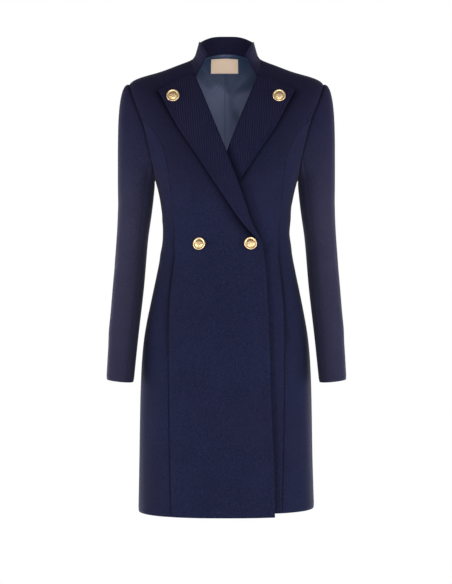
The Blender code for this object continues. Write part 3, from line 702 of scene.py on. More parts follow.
def line_away(points, line):
    """How far each point lies from a line of x and z, seen from the front."""
    line = np.array(line)
    x, z = (np.interp(np.linspace(0, 1, 240), run_of(line), line[:, i]) for i in (0, 1))
    away = [np.hypot(points[..., 0] - at_x, points[..., 2] - at_z) for at_x, at_z in zip(x, z)]
    return np.min(away, axis=0)


def body_shell(name, places, side, sewn, lift=0.0, deep=0.0):
    """A panel of the coat's body. sewn says which of its left, right, top and bottom are seams."""
    form, outward = body_point(places) * [side, 1, 1], body_outward(places) * [side, 1, 1]
    moved = lift + creased(form) - seam_sink(form, sewn)
    form = step_in(form, [(CLOTH + SEAM) / 2] * 4, shut=0.006)
    outer = form + outward * moved[..., None]
    deep = deepest(seam_deep(form, sewn), deep)
    return shell(name, outer, outer - outward * CLOTH, NAVY_WOOL, BLUE_SATIN, HEM_DEPTH, deep=deep)


# Wool: felted, matt, mottled by its fibres, with a faint bloom at grazing angles.
NAVY_DEEP = (0.0051, 0.0061, 0.02, 1.0)
NAVY_LIGHT = (0.0134, 0.0157, 0.0445, 1.0)
NAVY_FIBRE = (0.03, 0.034, 0.085, 1.0)
NAVY_VIOLET_PAINTED_SHADE = (0.0114, 0.0094, 0.0262, 1.0)  # towards the shoulders and in places elsewhere
# the colour of the painted shade in seams, under edges and in the cords' grooves
NAVY_PAINTED_SHADE = (0.0012, 0.0014, 0.006, 1.0)
BLOOM = (0.72, 0.67, 0.92, 1.0)


def wool_surface(name, deep, light, bloom=0.09):
    """Felted wool, as its surface, its colour, the height of its weave, its tone and its roughness."""
    sheen = {"Sheen_Weight": bloom, "Sheen_Roughness": 0.35, "Sheen_Tint": BLOOM}
    wool = Surface(name, Specular_IOR_Level=0.05, **sheen)
    place = wool.coordinates()
    cloudy = wool.noise(place, 14.0, 3.0)
    mottle = wool.noise(place, 320.0, 2.0, 0.6)
    warp = wool.noise(wool.stretched(place, (1.0, 1.0, 0.4)), 760.0, 2.0, 0.6)
    weft = wool.noise(wool.stretched(place, (0.4, 1.0, 1.0)), 760.0, 2.0, 0.6)
    felt = wool.noise(place, 1300.0, 2.0, 0.7)
    weave = (warp + weft) * 0.5
    tone = (cloudy - 0.5) * 0.5 + (mottle - 0.5) * 0.6 + (weave - 0.5) * 4.4 + (felt - 0.5) + 0.5
    colour = wool.mixed(tone.between(0.0, 1.0), deep, light)
    colour = wool.mixed(weave.between(0.6, 0.72) * 0.18, colour, NAVY_FIBRE)
    # a darker violet painted as shade towards the shoulders, and as a tint in random patches elsewhere
    violet_and_painted_shade = wool.parts()[2].between(-0.3, -0.06) * 0.62 + (wool.noise(place, 6.0, 1.0) - 0.5) * 1.6
    colour = wool.mixed(violet_and_painted_shade, colour, NAVY_VIOLET_PAINTED_SHADE)
    # painted shade, as much as the mesh's attribute gives
    colour = wool.mixed(wool.shade() * 0.96, colour, NAVY_PAINTED_SHADE)
    return wool, colour, felt * 0.5 + mottle * 0.4 + weave * 0.8, tone, 0.8 + tone * 0.14


wool, colour, height, tone, rough = wool_surface("navy_wool", NAVY_DEEP, NAVY_LIGHT)
NAVY_WOOL = wool.finish(Base_Color=colour, Roughness=rough, Normal=wool.bump(height, 0.55, 0.0006))

# The lining inside the coat: smooth slate-blue satin.
SATIN_DEEP = (0.077, 0.095, 0.178, 1.0)
SATIN_PAINTED_SHADE = (0.014, 0.033, 0.075, 1.0)
SATIN_LIGHT = (0.135, 0.153, 0.262, 1.0)
satin = Surface("blue_satin", Sheen_Weight=0.1, Sheen_Roughness=0.3, Specular_IOR_Level=0.14)
place = satin.coordinates()
drift = satin.noise(satin.stretched(place, (1.0, 1.0, 0.3)), 26.0, 2.0)
threads = satin.noise(satin.stretched(place, (1.0, 1.0, 0.06)), 2400.0, 1.0)
soft_folds = satin.noise(satin.stretched(place, (1.0, 1.0, 0.45)), 34.0, 1.0, 0.4, 0.6)
lit = satin.mixed(drift * 0.7 + threads * 0.3, SATIN_DEEP, SATIN_LIGHT)
# The satin darkens with painted shade where the mesh's attribute gives it.
BLUE_SATIN = satin.finish(
    Base_Color=satin.mixed(satin.shade(), lit, SATIN_PAINTED_SHADE),
    Roughness=0.38 + drift * 0.14,
    Normal=satin.bump(soft_folds * 1.0 + threads * 0.02, 0.3, 0.003),
)

# The princess seams stand a little proud below the waist, the front panel over the side panel,
# and the free edge of the right front is pressed thick. Shade is painted on the cloth close under
# the lapels, beside the right front's edge and in the hollow of the chest.
SEAM_PROUD, SEAM_UNDER = 0.001, 0.0005
PROUD_Z, PROUD_LENGTH, PROUD_WIDTH = -0.47, 0.085, 0.009
EDGE_RIDGE = 0.0016
# Painted shade: beside the right front's edge, by level; in the hollow of the chest and under the lapel's
# top; and how far it reaches under the lapel's outer edge, by level.
BESIDE_SHADE = ([0.36, 0.42], [0.95, 0.42])  # how deep and how far beside that edge, by level
BESIDE_REACH = ([0.36, 0.44], [0.005, 0.0095])
CHEST_SHADE, TOP_SHADE = 0.26, 0.5  # in the hollow of the chest, and under the lapel's top
SHADE_REACH = [(0.08, 0.0095), (0.15, 0.0075), (0.21, 0.005), (0.28, 0.0062), (0.34, 0.0112)]
LAPEL_TOP = [(0.061, -0.038), (0.083, -0.0425), (0.11, -0.059), (0.136, -0.0749)]
LAPEL_EDGE = [
    (-0.0749, 0.136), (-0.1062, 0.1193), (-0.1455, 0.0978), (-0.195, 0.0652), (-0.238, 0.0373),
    (-0.294, -0.0006), (-0.3273, -0.0229), (-0.3487, -0.0393), (-0.3581, -0.0474), (-0.3668, -0.0552),
]


def proud(points, line):
    """How far each point of a panel feels its proud seam, from 0 to 1, on the given line of its grid."""
    aside = hump(far_from_edges(points)[line], 0, PROUD_WIDTH)
    return aside * hump(points[..., 2], PROUD_Z, PROUD_LENGTH)


def beside_edge(points):
    """How much shadow is painted on the left front and its lapel beside the right front's edge, from 0 to
    1.
    """
    z, down = np.linspace(ROLL_LINE[1][0], -HEM_LEFT, 60), -points[..., 2]
    away = line_away(points, np.stack([-front_free_edge(z), z], axis=1))
    return np.interp(down, *BESIDE_SHADE) * fading(away, np.interp(down, *BESIDE_REACH))


for hand, side in HANDS:
    places = front_places(side)
    form = body_point(places)
    down = -form[..., 2]
    lift = SEAM_PROUD * proud(form, 1)
    under_edge = line_away(form, [(x, z) for z, x in LAPEL_EDGE])
    # painted shadow under the lapel's edges, and painted shade in the hollow of the chest
    deep = deepest(
        fading(under_edge, np.interp(down, *np.array(SHADE_REACH).T)),
        TOP_SHADE * fading(line_away(form, LAPEL_TOP), 0.004, 1),
        CHEST_SHADE * hump(down, 0.165, 0.1),
    )
    if side < 0:
        lift += EDGE_RIDGE * hump(far_from_edges(form)[0], 0.002, 0.007) * ease(down, 0.385, 0.43)
    else:
        lift -= lap_under(form)
        # painted shadow beside the right front's edge
        deep = deepest(deep, beside_edge(form))
    front = body_shell(f"{hand}_front", places, side, (False, True, True, False), lift, deep)
    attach(front, "root")
    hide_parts(f"front_{hand}")

# --- The side panels -------------------------------------------------------------------------
# Two narrow panels a side run under the arm, from the princess seams to the side seam. They are
# cut close at the waist and flare over the hip, and every seam is pressed open.
SEWN = (True, True, True, False)  # which of a panel's left, right, top and bottom lines are seams


def side_seam(side):
    """From the underarm down to the hem."""
    levels = np.linspace(UNDERARM_LEVEL, HEM_RIGHT, LINE_STEPS)
    z = lower_rows(side_z(UNDERARM_LEVEL), SIDE_WAIST_ROW, -hem_level(side * SIDE))
    down = np.interp(-z, -side_z(levels), levels)
    return np.stack([np.full(len(z), SIDE), down], axis=1)


def side_panel_places(behind, side):
    u = crowded(SIDE_COLUMNS)
    inner, outer = princess(behind, side), side_seam(side)
    top = along(ARMHOLE[behind], JUNCTION[behind] + (1 - JUNCTION[behind]) * u)
    bottom = inner[-1] + (outer[-1] - inner[-1]) * u[:, None]
    return filled(inner, outer, top, bottom, u, shares(len(inner) - 1))


for hand, side in HANDS:
    for part, behind in (("front", False), ("back", True)):
        places = side_panel_places(behind, side)
        form = body_point(places)
        z = form[..., 2]
        lift = 0.0 if behind else -SEAM_UNDER * proud(form, 0)
        seam_away, side_away = far_from_edges(form)[:2]
        # painted shadow beside the proud princess seam, and painted shade along the side seam at the waist
        beside_seam = fading(seam_away, 0.007, 1.5) * hump(z, -0.475, 0.105) * (not behind)
        deep = deepest(0.6 * hump(side_away, 0, 0.014) * hump(z, -0.4, 0.18), 0.95 * beside_seam)
        panel = body_shell(f"{hand}_side_{part}", places, side, SEWN, lift, deep)
        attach(panel, "root")
        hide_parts(f"side_{part}_{hand}")

# --- The back --------------------------------------------------------------------------------
# Two panels meet in a seam down the centre back, from the collar seam to the hem, and reach out
# to the armholes and the back princess seams. The cloth is eased over the shoulder blades.


def back_neck():
    """The neck seam from the side neck point to the centre back."""
    angle = SIDE + (BACK - SIDE) * shares(BACK_NECK_ROWS)
    return np.stack([angle, np.full(len(angle), NECK_LEVEL)], axis=1)


def back_places(side):
    upper_z = np.linspace(back_z(NECK_LEVEL), BACK_CHEST_ROW, UPPER_ROWS - BACK_NECK_ROWS + 1)[1:]
    lower_z = lower_rows(BACK_CHEST_ROW, BACK_WAIST_ROW, -hem_level(BACK))[1:]
    centre = place_at(0.0, np.concatenate([upper_z, lower_z]), behind=True)
    centre[:, 0] = BACK
    inner = np.concatenate([back_neck(), centre])
    return ruled(inner, panel_outer(True, side), crowded(BACK_COLUMNS))


for hand, side in HANDS:
    panel = body_shell(f"{hand}_back", back_places(side), side, SEWN)
    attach(panel, "root")
    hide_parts(f"back_{hand}")

# --- The sleeves -----------------------------------------------------------------------------
# Each sleeve is an upper and an under piece, sewn down its front and its back and set into the
# armhole, its head eased full over the shoulder. The arm hangs down and a little forward.
SLEEVE = [  # z, centre and half width across, centre and half depth
    (-0.2300, 0.1848, 0.0376, 0.000, 0.0570),
    (-0.2900, 0.1880, 0.0345, 0.003, 0.0555),
    (-0.3400, 0.1912, 0.0318, 0.006, 0.0530),
    (-0.3900, 0.1950, 0.0316, 0.007, 0.0510),  # elbow
    (-0.4600, 0.2003, 0.0318, 0.000, 0.0490),
    (-0.5400, 0.2073, 0.0304, -0.014, 0.0470),
    (-0.6556, 0.2158, 0.0277, -0.034, 0.0445),  # cuff
]
SLEEVE_ROUNDNESS = 2.15
SLEEVE_HEAD = 0.48  # how far the sleeve head stands out before it turns down, as a share
HEAD_FORWARD = 0.3  # and how far it leaves the armhole forwards in front, backwards behind
CAP_TILT, CUFF_TILT = 0.034, 0.003  # half the rise, inside to outside, of the cap's end and the cuff
CAP_FULLNESS = 0.0125  # how far the sleeve head's top rises before it turns down
FRONT_SEAM_SHARE, HIND_SEAM_SHARE = 0.5, 0.25  # from the princess seam to the underarm
SLEEVE_RADIUS = 0.045
ARMHOLE_SINK, ARMHOLE_GAP, ARMHOLE_REACH = 0.0019, 0.0002, 0.0042  # where it meets the body
# Painted shade beside the armhole seam: how much, where it starts and how fast it fades; and painted shade
# on the inside of the arm.
ARMHOLE_SHADE, SHADE_START, SHADE_FADE = 0.62, 0.006, 0.0016  # how deep it lies beside the seam
INNER_ARM_SHADE, INNER_ARM_WIDTH = 0.55, 0.55
ARMHOLE_TUCK = ((0.0036, 0.0034), (0.0022, 0.0033), (0.0009, 0.003), (0.0001, 0.0023))
CAP_ROWS, ARM_ROWS, UPPER_COLUMNS, UNDER_COLUMNS = 40, 110, 96, 44

# Sleeve creases are given round the arm, in millimetres forwards from its outside, and by height.
SLEEVE_CREASES = [
    (90, -225, 10, -305, 16, -1.6), (80, -290, 25, -350, 13, 1.1),
    # inside the elbow
    (95, -355, 15, -405, 13, -1.8), (88, -395, 30, -412, 11, 1.2), (100, -442, 5, -420, 14, -1.6),
    (70, -490, 0, -570, 18, 1.4), (50, -560, 80, -630, 17, -1.2), (-40, -270, -15, -360, 18, 1.2),
    (-90, -330, -45, -390, 15, -1.4), (-55, -400, -80, -470, 16, 1.6), (-25, -470, -35, -610, 19, -1.3),
    (25, -130, 42, -190, 15, -1),
]

# Painted sheen: the sleeves' wool is painted paler and greyer from the upper arm towards the cuffs, for the
# light that they catch there.
PAINTED_SLEEVE_SHEEN = (0.049, 0.044, 0.074, 1.0)
wool, colour, height, tone, rough = wool_surface("sleeve_wool", NAVY_DEEP, NAVY_LIGHT)
down = wool.parts()[2] * -1.0
painted_sheen = down.between(0.14, 0.34) * (1 - down.between(0.5, 0.7) * 0.3)
SLEEVE_WOOL = wool.finish(
    Base_Color=wool.mixed(painted_sheen * (tone.between(-0.4, 1.0) * 0.2 + 0.22), colour, PAINTED_SLEEVE_SHEEN),
    Roughness=rough,
    Normal=wool.bump(height, 0.55, 0.0006),
)

arm_x, arm_width, arm_y, arm_depth = columns_of(SLEEVE)


def sleeve_ring(turn, depth):
    """Points of the tube round the arm. turn is 0 outside it and a quarter turn in front."""
    top, cuff = SLEEVE[0][0], SLEEVE[-1][0]
    z = np.clip(depth, cuff, top)
    c, s = np.cos(turn), np.sin(turn)
    radius = (np.abs(c) ** SLEEVE_ROUNDNESS + np.abs(s) ** SLEEVE_ROUNDNESS) ** (-1 / SLEEVE_ROUNDNESS)
    tilt = CAP_TILT + (CUFF_TILT - CAP_TILT) * ease((depth - top) / (cuff - top), 0, 0.5)
    x, y = arm_x(z) + arm_width(z) * c * radius, arm_y(z) - arm_depth(z) * s * radius
    return np.stack([x, y, depth + tilt * c], axis=-1)


def sleeve_points(turn):
    """The sleeve's outer face: a cap from the armhole seam, then the tube down to the cuff."""
    c, s = np.cos(turn), np.sin(turn)
    share = np.abs(np.angle(np.exp(1j * turn))) / math.pi
    places = np.where(s[:, None] >= 0, along(ARMHOLE[False], share), along(ARMHOLE[True], share))
    start, outward = body_point(places), body_outward(places)
    top = SLEEVE[0][0]
    end = sleeve_ring(turn[None, :], top)[0]
    down = unit(sleeve_ring(turn[None, :], top - 1e-3)[0] - end)
    reach = np.linalg.norm(end - start, axis=-1, keepdims=True)
    leave = np.stack([(1 + c) / 2, -HEAD_FORWARD * s, c - 1], axis=-1) * reach * SLEEVE_HEAD
    leave[:, 2] += CAP_FULLNESS * np.clip(c, 0, 1)
    t = shares(CAP_ROWS)[:, None, None] ** 1.25
    from_seam = (2 * t**3 - 3 * t**2 + 1) * start + (t**3 - 2 * t**2 + t) * leave
    cap = from_seam + (3 * t**2 - 2 * t**3) * end + (t**3 - t**2) * down * reach
    into_body = np.cross(outward, unit(np.gradient(start, axis=0)))
    sunk = ease(np.linalg.norm(cap - start, axis=-1), ARMHOLE_REACH, 0.0)[..., None]
    sink = ARMHOLE_SINK * (1 - 0.8 * np.clip(c, 0, 1)[:, None] ** 3)
    cap = cap - outward * sink * sunk - into_body * ARMHOLE_GAP * sunk
    tuck = [start + into_body * over - outward * under for over, under in ARMHOLE_TUCK]
    depth = np.linspace(top, SLEEVE[-1][0], ARM_ROWS + 1)[1:, None]
    return np.concatenate([tuck, cap, sleeve_ring(turn[None, :], depth)])


def sleeve_shell(name, start, end, columns, side):
    """A sleeve piece between two turns round the arm."""
    turn = start + (end - start) * crowded(columns)
    points = sleeve_points(turn)
    round_it = sleeve_points(turn + 0.01) - sleeve_points(turn - 0.01)
    outward = unit(np.cross(round_it, np.gradient(points, axis=0)))
    # The right sleeve's creases lie a little off the left one's.
    off_round, off_up = (0.004, 0.006) if side < 0 else (0.0, 0.0)
    height = points[..., 2] + off_up
    at = np.angle(np.exp(1j * turn))[None, :] * SLEEVE_RADIUS + off_round
    sewn, from_armhole = (True, True, False, False), far_from_edges(points)[2]
    moved = crossed(at + 0 * height, height, SLEEVE_CREASES)
    moved = moved - seam_sink(points, sewn) * ease(from_armhole, 0.007, 0.016)
    points = step_in(points, [(CLOTH + SEAM) / 2] * 2 + [0.0, CLOTH / 2], shut=0.014)
    outer = points + outward * moved[..., None]
    inner = outer - outward * CLOTH
    mirror = [side, 1, 1]
    # painted shade in the seams, on the inside of the arm and beside the armhole
    deep = deepest(
        seam_deep(points, sewn),
        INNER_ARM_SHADE * hump(np.abs(turn) - math.pi, 0, INNER_ARM_WIDTH)[None, :],
        ARMHOLE_SHADE * fading(np.maximum(far_from_edges(points)[2] - SHADE_START, 0), SHADE_FADE, 1),
    )
    return shell(name, outer * mirror, inner * mirror, SLEEVE_WOOL, BLUE_SATIN, HEM_DEPTH, deep=deep)


front_seam = math.pi * (JUNCTION[False] + (1 - JUNCTION[False]) * FRONT_SEAM_SHARE)
hind_seam = math.pi * (JUNCTION[True] + (1 - JUNCTION[True]) * HIND_SEAM_SHARE)
for hand, side in HANDS:
    for part, start, end, columns, flat, area in (
        ("upper", -hind_seam, front_seam, UPPER_COLUMNS, (0.27, 0.62), 0.1),
        ("under", front_seam, 2 * math.pi - hind_seam, UNDER_COLUMNS, (0.13, 0.46), 0.045),
    ):
        sleeve = sleeve_shell(f"{hand}_{part}_sleeve", start, end, columns, side)
        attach(sleeve, "root")
        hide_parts(f"{part}_sleeve_{hand}")

# --- The lapels ------------------------------------------------------------------------------
# The fronts' facing, in a corded wool, rolls back over each front from the collar down to the
# buttons and ends in a peak towards the shoulder. Its outer edge is pressed plain.
LAPEL_CLOTH = 0.0024
LAPEL_STAND = 0.0009  # the least clearance between a lapel and its front
PEAK_STAND = 0.002  # how much further the lapel stands off at its peak
EDGE_STAND = 0.002  # and along its outer edge
EDGE_SPRING = 0.0054  # and where that edge springs off the chest
EDGE_LIP = 0.0008  # and at the very edge
LAPEL_END_RISE = 0.004
LAPEL_TRIM = 0.0016  # how far inside the pattern's line the pressed edge falls
LAPEL_ROWS, LAPEL_COLUMNS, ROLL_COLUMNS = 130, 54, 12
ROLL_TURN = math.radians(140)  # how far the facing wraps round the roll line
ROLL_INSET = 0.0048  # from the roll line to where the roll starts
ROLL_LOOSE = 0.0006  # how much rounder it is than the cloth that it wraps
# how much shade is painted along the lapel's roll
ROLL_SHADE = 0.6
CORD_LEAN = 0.1  # how far the cords lean in towards the centre on the way down

# The facing's cloth has fine raised cords. The UV map's first number runs across them, and its
# second is the distance from the plain pressed edge.
CORD_WIDTH, CORD_WANDER = 0.0045, 0.0022
CORDED_DEEP = (0.0046, 0.0051, 0.018, 1.0)
CORDED_LIGHT = (0.012, 0.0131, 0.0385, 1.0)


def corded_cloth(name, bloom):
    """The corded wool, with the given bloom at grazing angles."""
    corded, colour, height, tone, rough = wool_surface(name, CORDED_DEEP, CORDED_LIGHT, bloom)
    across, edge, _ = corded.parts("UV")
    wander = corded.noise(corded.coordinates(), 60.0, 2.0)
    cords = ((across + (wander - 0.5) * CORD_WANDER) * (2 * math.pi / CORD_WIDTH)).sine()
    clear = corded.parts()[2].between(-0.3, -0.14) * 0.65 + 0.35  # they flatten towards the buttons
    clear = clear * edge.between(0.0055, 0.0085)
    cords = (cords * 0.5 + 0.5) * clear
    # painted shade in the grooves between the cords
    colour = corded.mixed(clear * 0.34 - cords * 0.34, colour, NAVY_PAINTED_SHADE)
    colour = corded.mixed(cords * 0.17, colour, NAVY_FIBRE)
    relief = corded.bump(cords * 1.3 + height * 0.8, 0.75, 0.0008)
    return corded.finish(Base_Color=colour, Roughness=rough, Normal=relief)


LAPEL_WOOL, COLLAR_WOOL = corded_cloth("corded_wool", 0.02), corded_cloth("collar_corded_wool", 0.14)


def lapel_places():
    """The lapel from where its roll starts to its outer edge."""
    v, u = crowded(LAPEL_ROWS), crowded(LAPEL_COLUMNS, 0.7)
    inner_z = COLLAR_POINT[1] + (ROLL_BREAK[1] + LAPEL_END_RISE - COLLAR_POINT[1]) * v
    inner = place_at(front_free_edge(inner_z) + ROLL_INSET, inner_z)
    outer_z = LAPEL_EDGE[0][0] + (LAPEL_EDGE[-1][0] - LAPEL_EDGE[0][0]) * v
    outer = place_at(line_x(LAPEL_EDGE, outer_z) - LAPEL_TRIM, outer_z)
    top_x, top_z = np.array(LAPEL_TOP).T
    x = np.interp(u, np.linspace(0, 1, len(top_x)), top_x + [ROLL_INSET, 0, 0, -LAPEL_TRIM])
    top = place_at(x, smooth(top_x, top_z)(x))
    bottom = inner[-1] + (outer[-1] - inner[-1]) * u[:, None]
    inner[0], outer[0] = top[0], top[-1]
    return filled(inner, outer, top, bottom, u, v), u[None, :], v[:, None]


def rolled(grid, outward, stand):
    """The grid with the roll added before its first column, and its inner face to match."""
    radius = (stand[:, :1, None] + CLOTH + ROLL_LOOSE) / 2
    n = outward[:, :1]
    free = square_to(unit(grid[:, :1] - grid[:, 1:2]), n)
    free = square_to(free, unit(np.gradient(grid[:, 0], axis=0))[:, None])
    turn = np.linspace(ROLL_TURN, 0, ROLL_COLUMNS + 1)[None, :-1, None]
    way = n * np.cos(turn) + free * np.sin(turn)
    centre = grid[:, :1] - n * radius
    outer = np.concatenate([centre + way * radius, grid], axis=1)
    inside = np.concatenate([centre + way * (radius - LAPEL_CLOTH), grid - outward * LAPEL_CLOTH], axis=1)
    return outer, inside


places, u, v = lapel_places()
form, outward = body_point(places), body_outward(places)
stand = LAPEL_CLOTH + LAPEL_STAND + PEAK_STAND * np.sqrt(u) * (1 - v)
spring = EDGE_STAND * u + EDGE_SPRING * u**5 * hump(v, 0.62, 0.26) + EDGE_LIP * u**8
edge = np.minimum(*far_from_edges(form)[1:3])
edge = np.concatenate([np.repeat(edge[:, :1], ROLL_COLUMNS, axis=1), edge], axis=1)
across = form[..., 0] - CORD_LEAN * form[..., 2]
for hand, side in HANDS:
    under = 0 * across if side < 0 else lap_under(form)
    lift = stand + spring * (1 - under / (LAP_GAP + LAPEL_LAP_GAP)) - under
    outer, inner = rolled(form + outward * lift[..., None], outward, stand)
    steps = np.linalg.norm(np.diff(outer, axis=1), axis=2)[:, :ROLL_COLUMNS]
    roll_run = np.cumsum(steps[:, ::-1], axis=1)[:, ::-1]
    flat = np.stack([np.concatenate([across[:, :1] - roll_run, across], axis=1), edge], axis=-1)
    mirror = [side, 1, 1]
    # painted shadow beside the right front's edge on the left lapel, and painted shade along both rolls
    deep = beside_edge(outer) if side > 0 else np.zeros(outer.shape[:2])
    deep[:, :ROLL_COLUMNS] = deepest(deep[:, :ROLL_COLUMNS], ROLL_SHADE)
    lapel = shell(f"{hand}_lapel_facing", outer * mirror, inner * mirror, LAPEL_WOOL, flat=flat, deep=deep)
    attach(lapel, "root")
    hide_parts(f"lapel_{hand}")

# --- The collar ------------------------------------------------------------------------------
# A stand collar of the corded wool, one length round the neck, with a plain wool facing inside
# it that stops just short of its top. Both are sewn into the neck seam.
COLLAR_TOP_LEVEL = 0.0216
COLLAR_CORNER = (0.0398, 0.007)  # x, z of the top of the collar's front edge
COLLAR_SQUARENESS = 3.0  # how squarely its top edge turns down behind the ears
COLLAR_CLOTH, COLLAR_LAYER_GAP = 0.0016, 0.0003
FACING_DROP = 0.0018  # how far its facing stops short of its top
COLLAR_ROWS = 22


def all_round(half):
    """Places from the wearer's left to the centre back, carried on round to the right."""
    return np.concatenate([half, (half * [-1, 1] + [2 * math.pi, 0])[::-1][1:]])


def collar_places():
    """From the collar's front edge on the wearer's left, round the back, to that on the right."""
    corner = place_at(*COLLAR_CORNER)
    neck_z = front_inner_rows(-HEM_RIGHT)[NECK_ROWS:0:-1]
    half = np.concatenate([place_at(front_free_edge(neck_z), neck_z), back_neck()])
    top_angle = corner[0] + (BACK - corner[0]) * shares(len(half) - 1)
    top = all_round(np.stack([top_angle, np.full(len(half), COLLAR_TOP_LEVEL)], axis=1))
    down = crowded(COLLAR_ROWS, 0.6)
    edge = place_at(*(np.outer(1 - down, COLLAR_CORNER) + np.outer(down, COLLAR_POINT)).T)
    edge[0] = top[0]
    other = edge * [-1, 1] + [2 * math.pi, 0]
    return filled(edge, other, top, all_round(half), shares(len(top) - 1), down)


def collar_rise(places):
    """How much higher the collar's top edge stands behind than the form's own curve."""
    level = places[..., 1]
    aside = np.clip(np.abs(body_point(places)[..., 0]) / half_width(level), 0, 1)
    up = (NECK_LEVEL - level) / (NECK_LEVEL - COLLAR_TOP_LEVEL)
    rise = (back_z(level) - side_z(level)) * up * (aside ** roundness(level) - aside**COLLAR_SQUARENESS)
    return np.where(np.cos(places[..., 0]) < 0, rise, 0.0)


places = collar_places()
form, outward = body_point(places), body_outward(places)
form[..., 2] += collar_rise(places)
run = far_from_edges(form)
middle_run = np.broadcast_to(run[0][COLLAR_ROWS // 2], form.shape[:2])
flat = np.stack([middle_run, np.minimum(run[2], run[0])], axis=-1)
for name, node, depth, top_gap, material in (
    ("collar_cloth", "collar", 0.0, COLLAR_CLOTH / 2, COLLAR_WOOL),
    ("collar_inner_facing", "collar_facing", COLLAR_CLOTH + COLLAR_LAYER_GAP, FACING_DROP, NAVY_WOOL),
):
    sunk = seam_sink(form, (False, False, False, True)) + depth
    grid = step_in(form, [COLLAR_CLOTH / 2, COLLAR_CLOTH / 2, top_gap, COLLAR_CLOTH / 2])
    outer = grid - outward * sunk[..., None]
    piece = shell(name, outer, outer - outward * COLLAR_CLOTH, material, flat=flat)
    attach(piece, "root")
    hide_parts(node)

# --- The lining ------------------------------------------------------------------------------
# Slate-blue satin hangs inside the back from the neck seam. Its left half overlaps in an ease
# pleat down the centre, which falls a little open, and it stops short of the hem.
LINING_CLOTH, LINING_GAP = 0.001, 0.0004
PLEAT = 0.0012  # how far in the pleat stands
PLEAT_LAP = 0.003  # how far its fold reaches past the centre
LINING_SEAM = 0.0032  # how far the fold of the pleat shows to the wearer's right
LINING_HEM_ROWS = 9
# Shade is painted on the lining above this line.
PAINTED_SHADE_LINE = [  # x and the height below which the light falls on the lining
    (-0.063, -0.028), (-0.049, -0.037), (-0.036, -0.045), (-0.024, -0.041), (-0.007, -0.046),
    (0.001, -0.053), (0.007, -0.063), (0.014, -0.064), (0.022, -0.06), (0.034, -0.056), (0.055, -0.05),
]
LINING_CREASES = [
    # draped across below the label
    (-68, -25, -3, -54, 13, 4), (64, -20, 4, -52, 8, 2.2), (70, -45, 30, -80, 8, 2.4),
    (6, -70, 11, -230, 6, 2.2), (-33, -60, -23, -210, 11, 2), (33, -70, 24, -200, 8, 2.2),
    (-12, -100, -10, -300, 6, 1),
    # above the label
    (-28, 19, 20, 18.5, 2.2, 1.2),
]
# Painted light on the folds, which lessens the painted shade: how far each leans, where it lies, how wide
# and how bright it is.
PAINTED_FOLD_LIGHT = ((0.9, 0.064, 0.0035, 1), (0.7, 0.05, 0.003, 0.8), (-0.6, -0.052, 0.004, 0.7))

for hand, side in HANDS:
    places = back_places(side)[:-LINING_HEM_ROWS]
    form, outward = body_point(places) * [side, 1, 1], body_outward(places) * [side, 1, 1]
    near_centre = (1 - crowded(BACK_COLUMNS))[None, :] ** 10
    opened = near_centre * ease(form[..., 2], 0.012, -0.012) * (side > 0)
    ripples = np.maximum(crossed(form[..., 0], form[..., 2], LINING_CREASES), 0)
    inwards = CLOTH + LINING_GAP - creased(form) + seam_sink(form, SEWN)
    form = step_in(form, [LINING_CLOTH / 2] * 4) - opened[..., None] * [PLEAT_LAP, 0, 0]
    outer = form - outward * (inwards + PLEAT * opened + ripples)[..., None]
    x, z = form[..., 0], form[..., 2]
    painted_shade_edge, soft = smooth(*np.array(PAINTED_SHADE_LINE).T)(x), np.interp(x, [-0.04, 0.03], [0.0058, 0.008])
    painted_light_streaks = sum(light * hump(x - lean * z, at, width) for lean, at, width, light in PAINTED_FOLD_LIGHT)
    # painted shade above that line, lessened by the painted light on the folds
    deep = 0.84 * ease(z, painted_shade_edge - soft, painted_shade_edge + soft) * (1 - 0.26 * np.clip(painted_light_streaks, 0, 1))
    # more painted light and shade round the label, the pleat and a fold
    deep = deepest(
        deep * (1 - 0.7 * hump(z, 0.0195, 0.0032) * hump(x, -0.006, 0.022)),  # lit above the label
        0.45 * hump(x, 0.01, 0.008) * ease(-z, 0.03, 0.05) * ease(z, -0.12, -0.07),  # by the pleat
        0.6 * hump(x + 0.3 * (z + 0.103), 0.019, 0.008) * hump(z, -0.103, 0.022),  # a dark fold
        0.85 * hump(x, -LINING_SEAM, 0.0011) * np.interp(-z, [0.045, 0.09], [1.0, 0.3]),  # its fold
    )
    lining = shell(f"{hand}_lining", outer, outer - outward * LINING_CLOTH, BLUE_SATIN, deep=deep)
    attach(lining, "root")
    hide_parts(f"lining_back_{hand}")

# --- The neck label --------------------------------------------------------------------------
# A plain cream ribbon, woven with a narrow border, is stitched round its edge to the lining
# under the collar, a little towards the wearer's right.
LABEL_SIDES, LABEL_ENDS = (-0.033, 0.025), (0.0136, -0.016)
LABEL_WIDTH = LABEL_SIDES[1] - LABEL_SIDES[0]
LABEL_CLOTH = 0.0006
LABEL_LIFT = 0.0008
LABEL_DIP = 0.0016  # how far the ends of its top edge hang below the middle
LABEL_STANDOFF = 0.0016  # its lower edge hangs clear of the lining
LABEL_ROWS, LABEL_COLUMNS = 26, 44
LABEL_TOP = 0.029  # where the border's upper line is woven from
LABEL_WAVE, LABEL_WAVES = 0.0003, 160  # how far, and how closely, its lower edge waves
BORDER = 0.0016
WEFT_WIDTH, WARP_WIDTH = 0.0006, 0.0005
THREAD = {"Spacing": 0.0016, "Thread": 0.00018, "Length": 3.4}
THREAD_SUNK = 0.0001

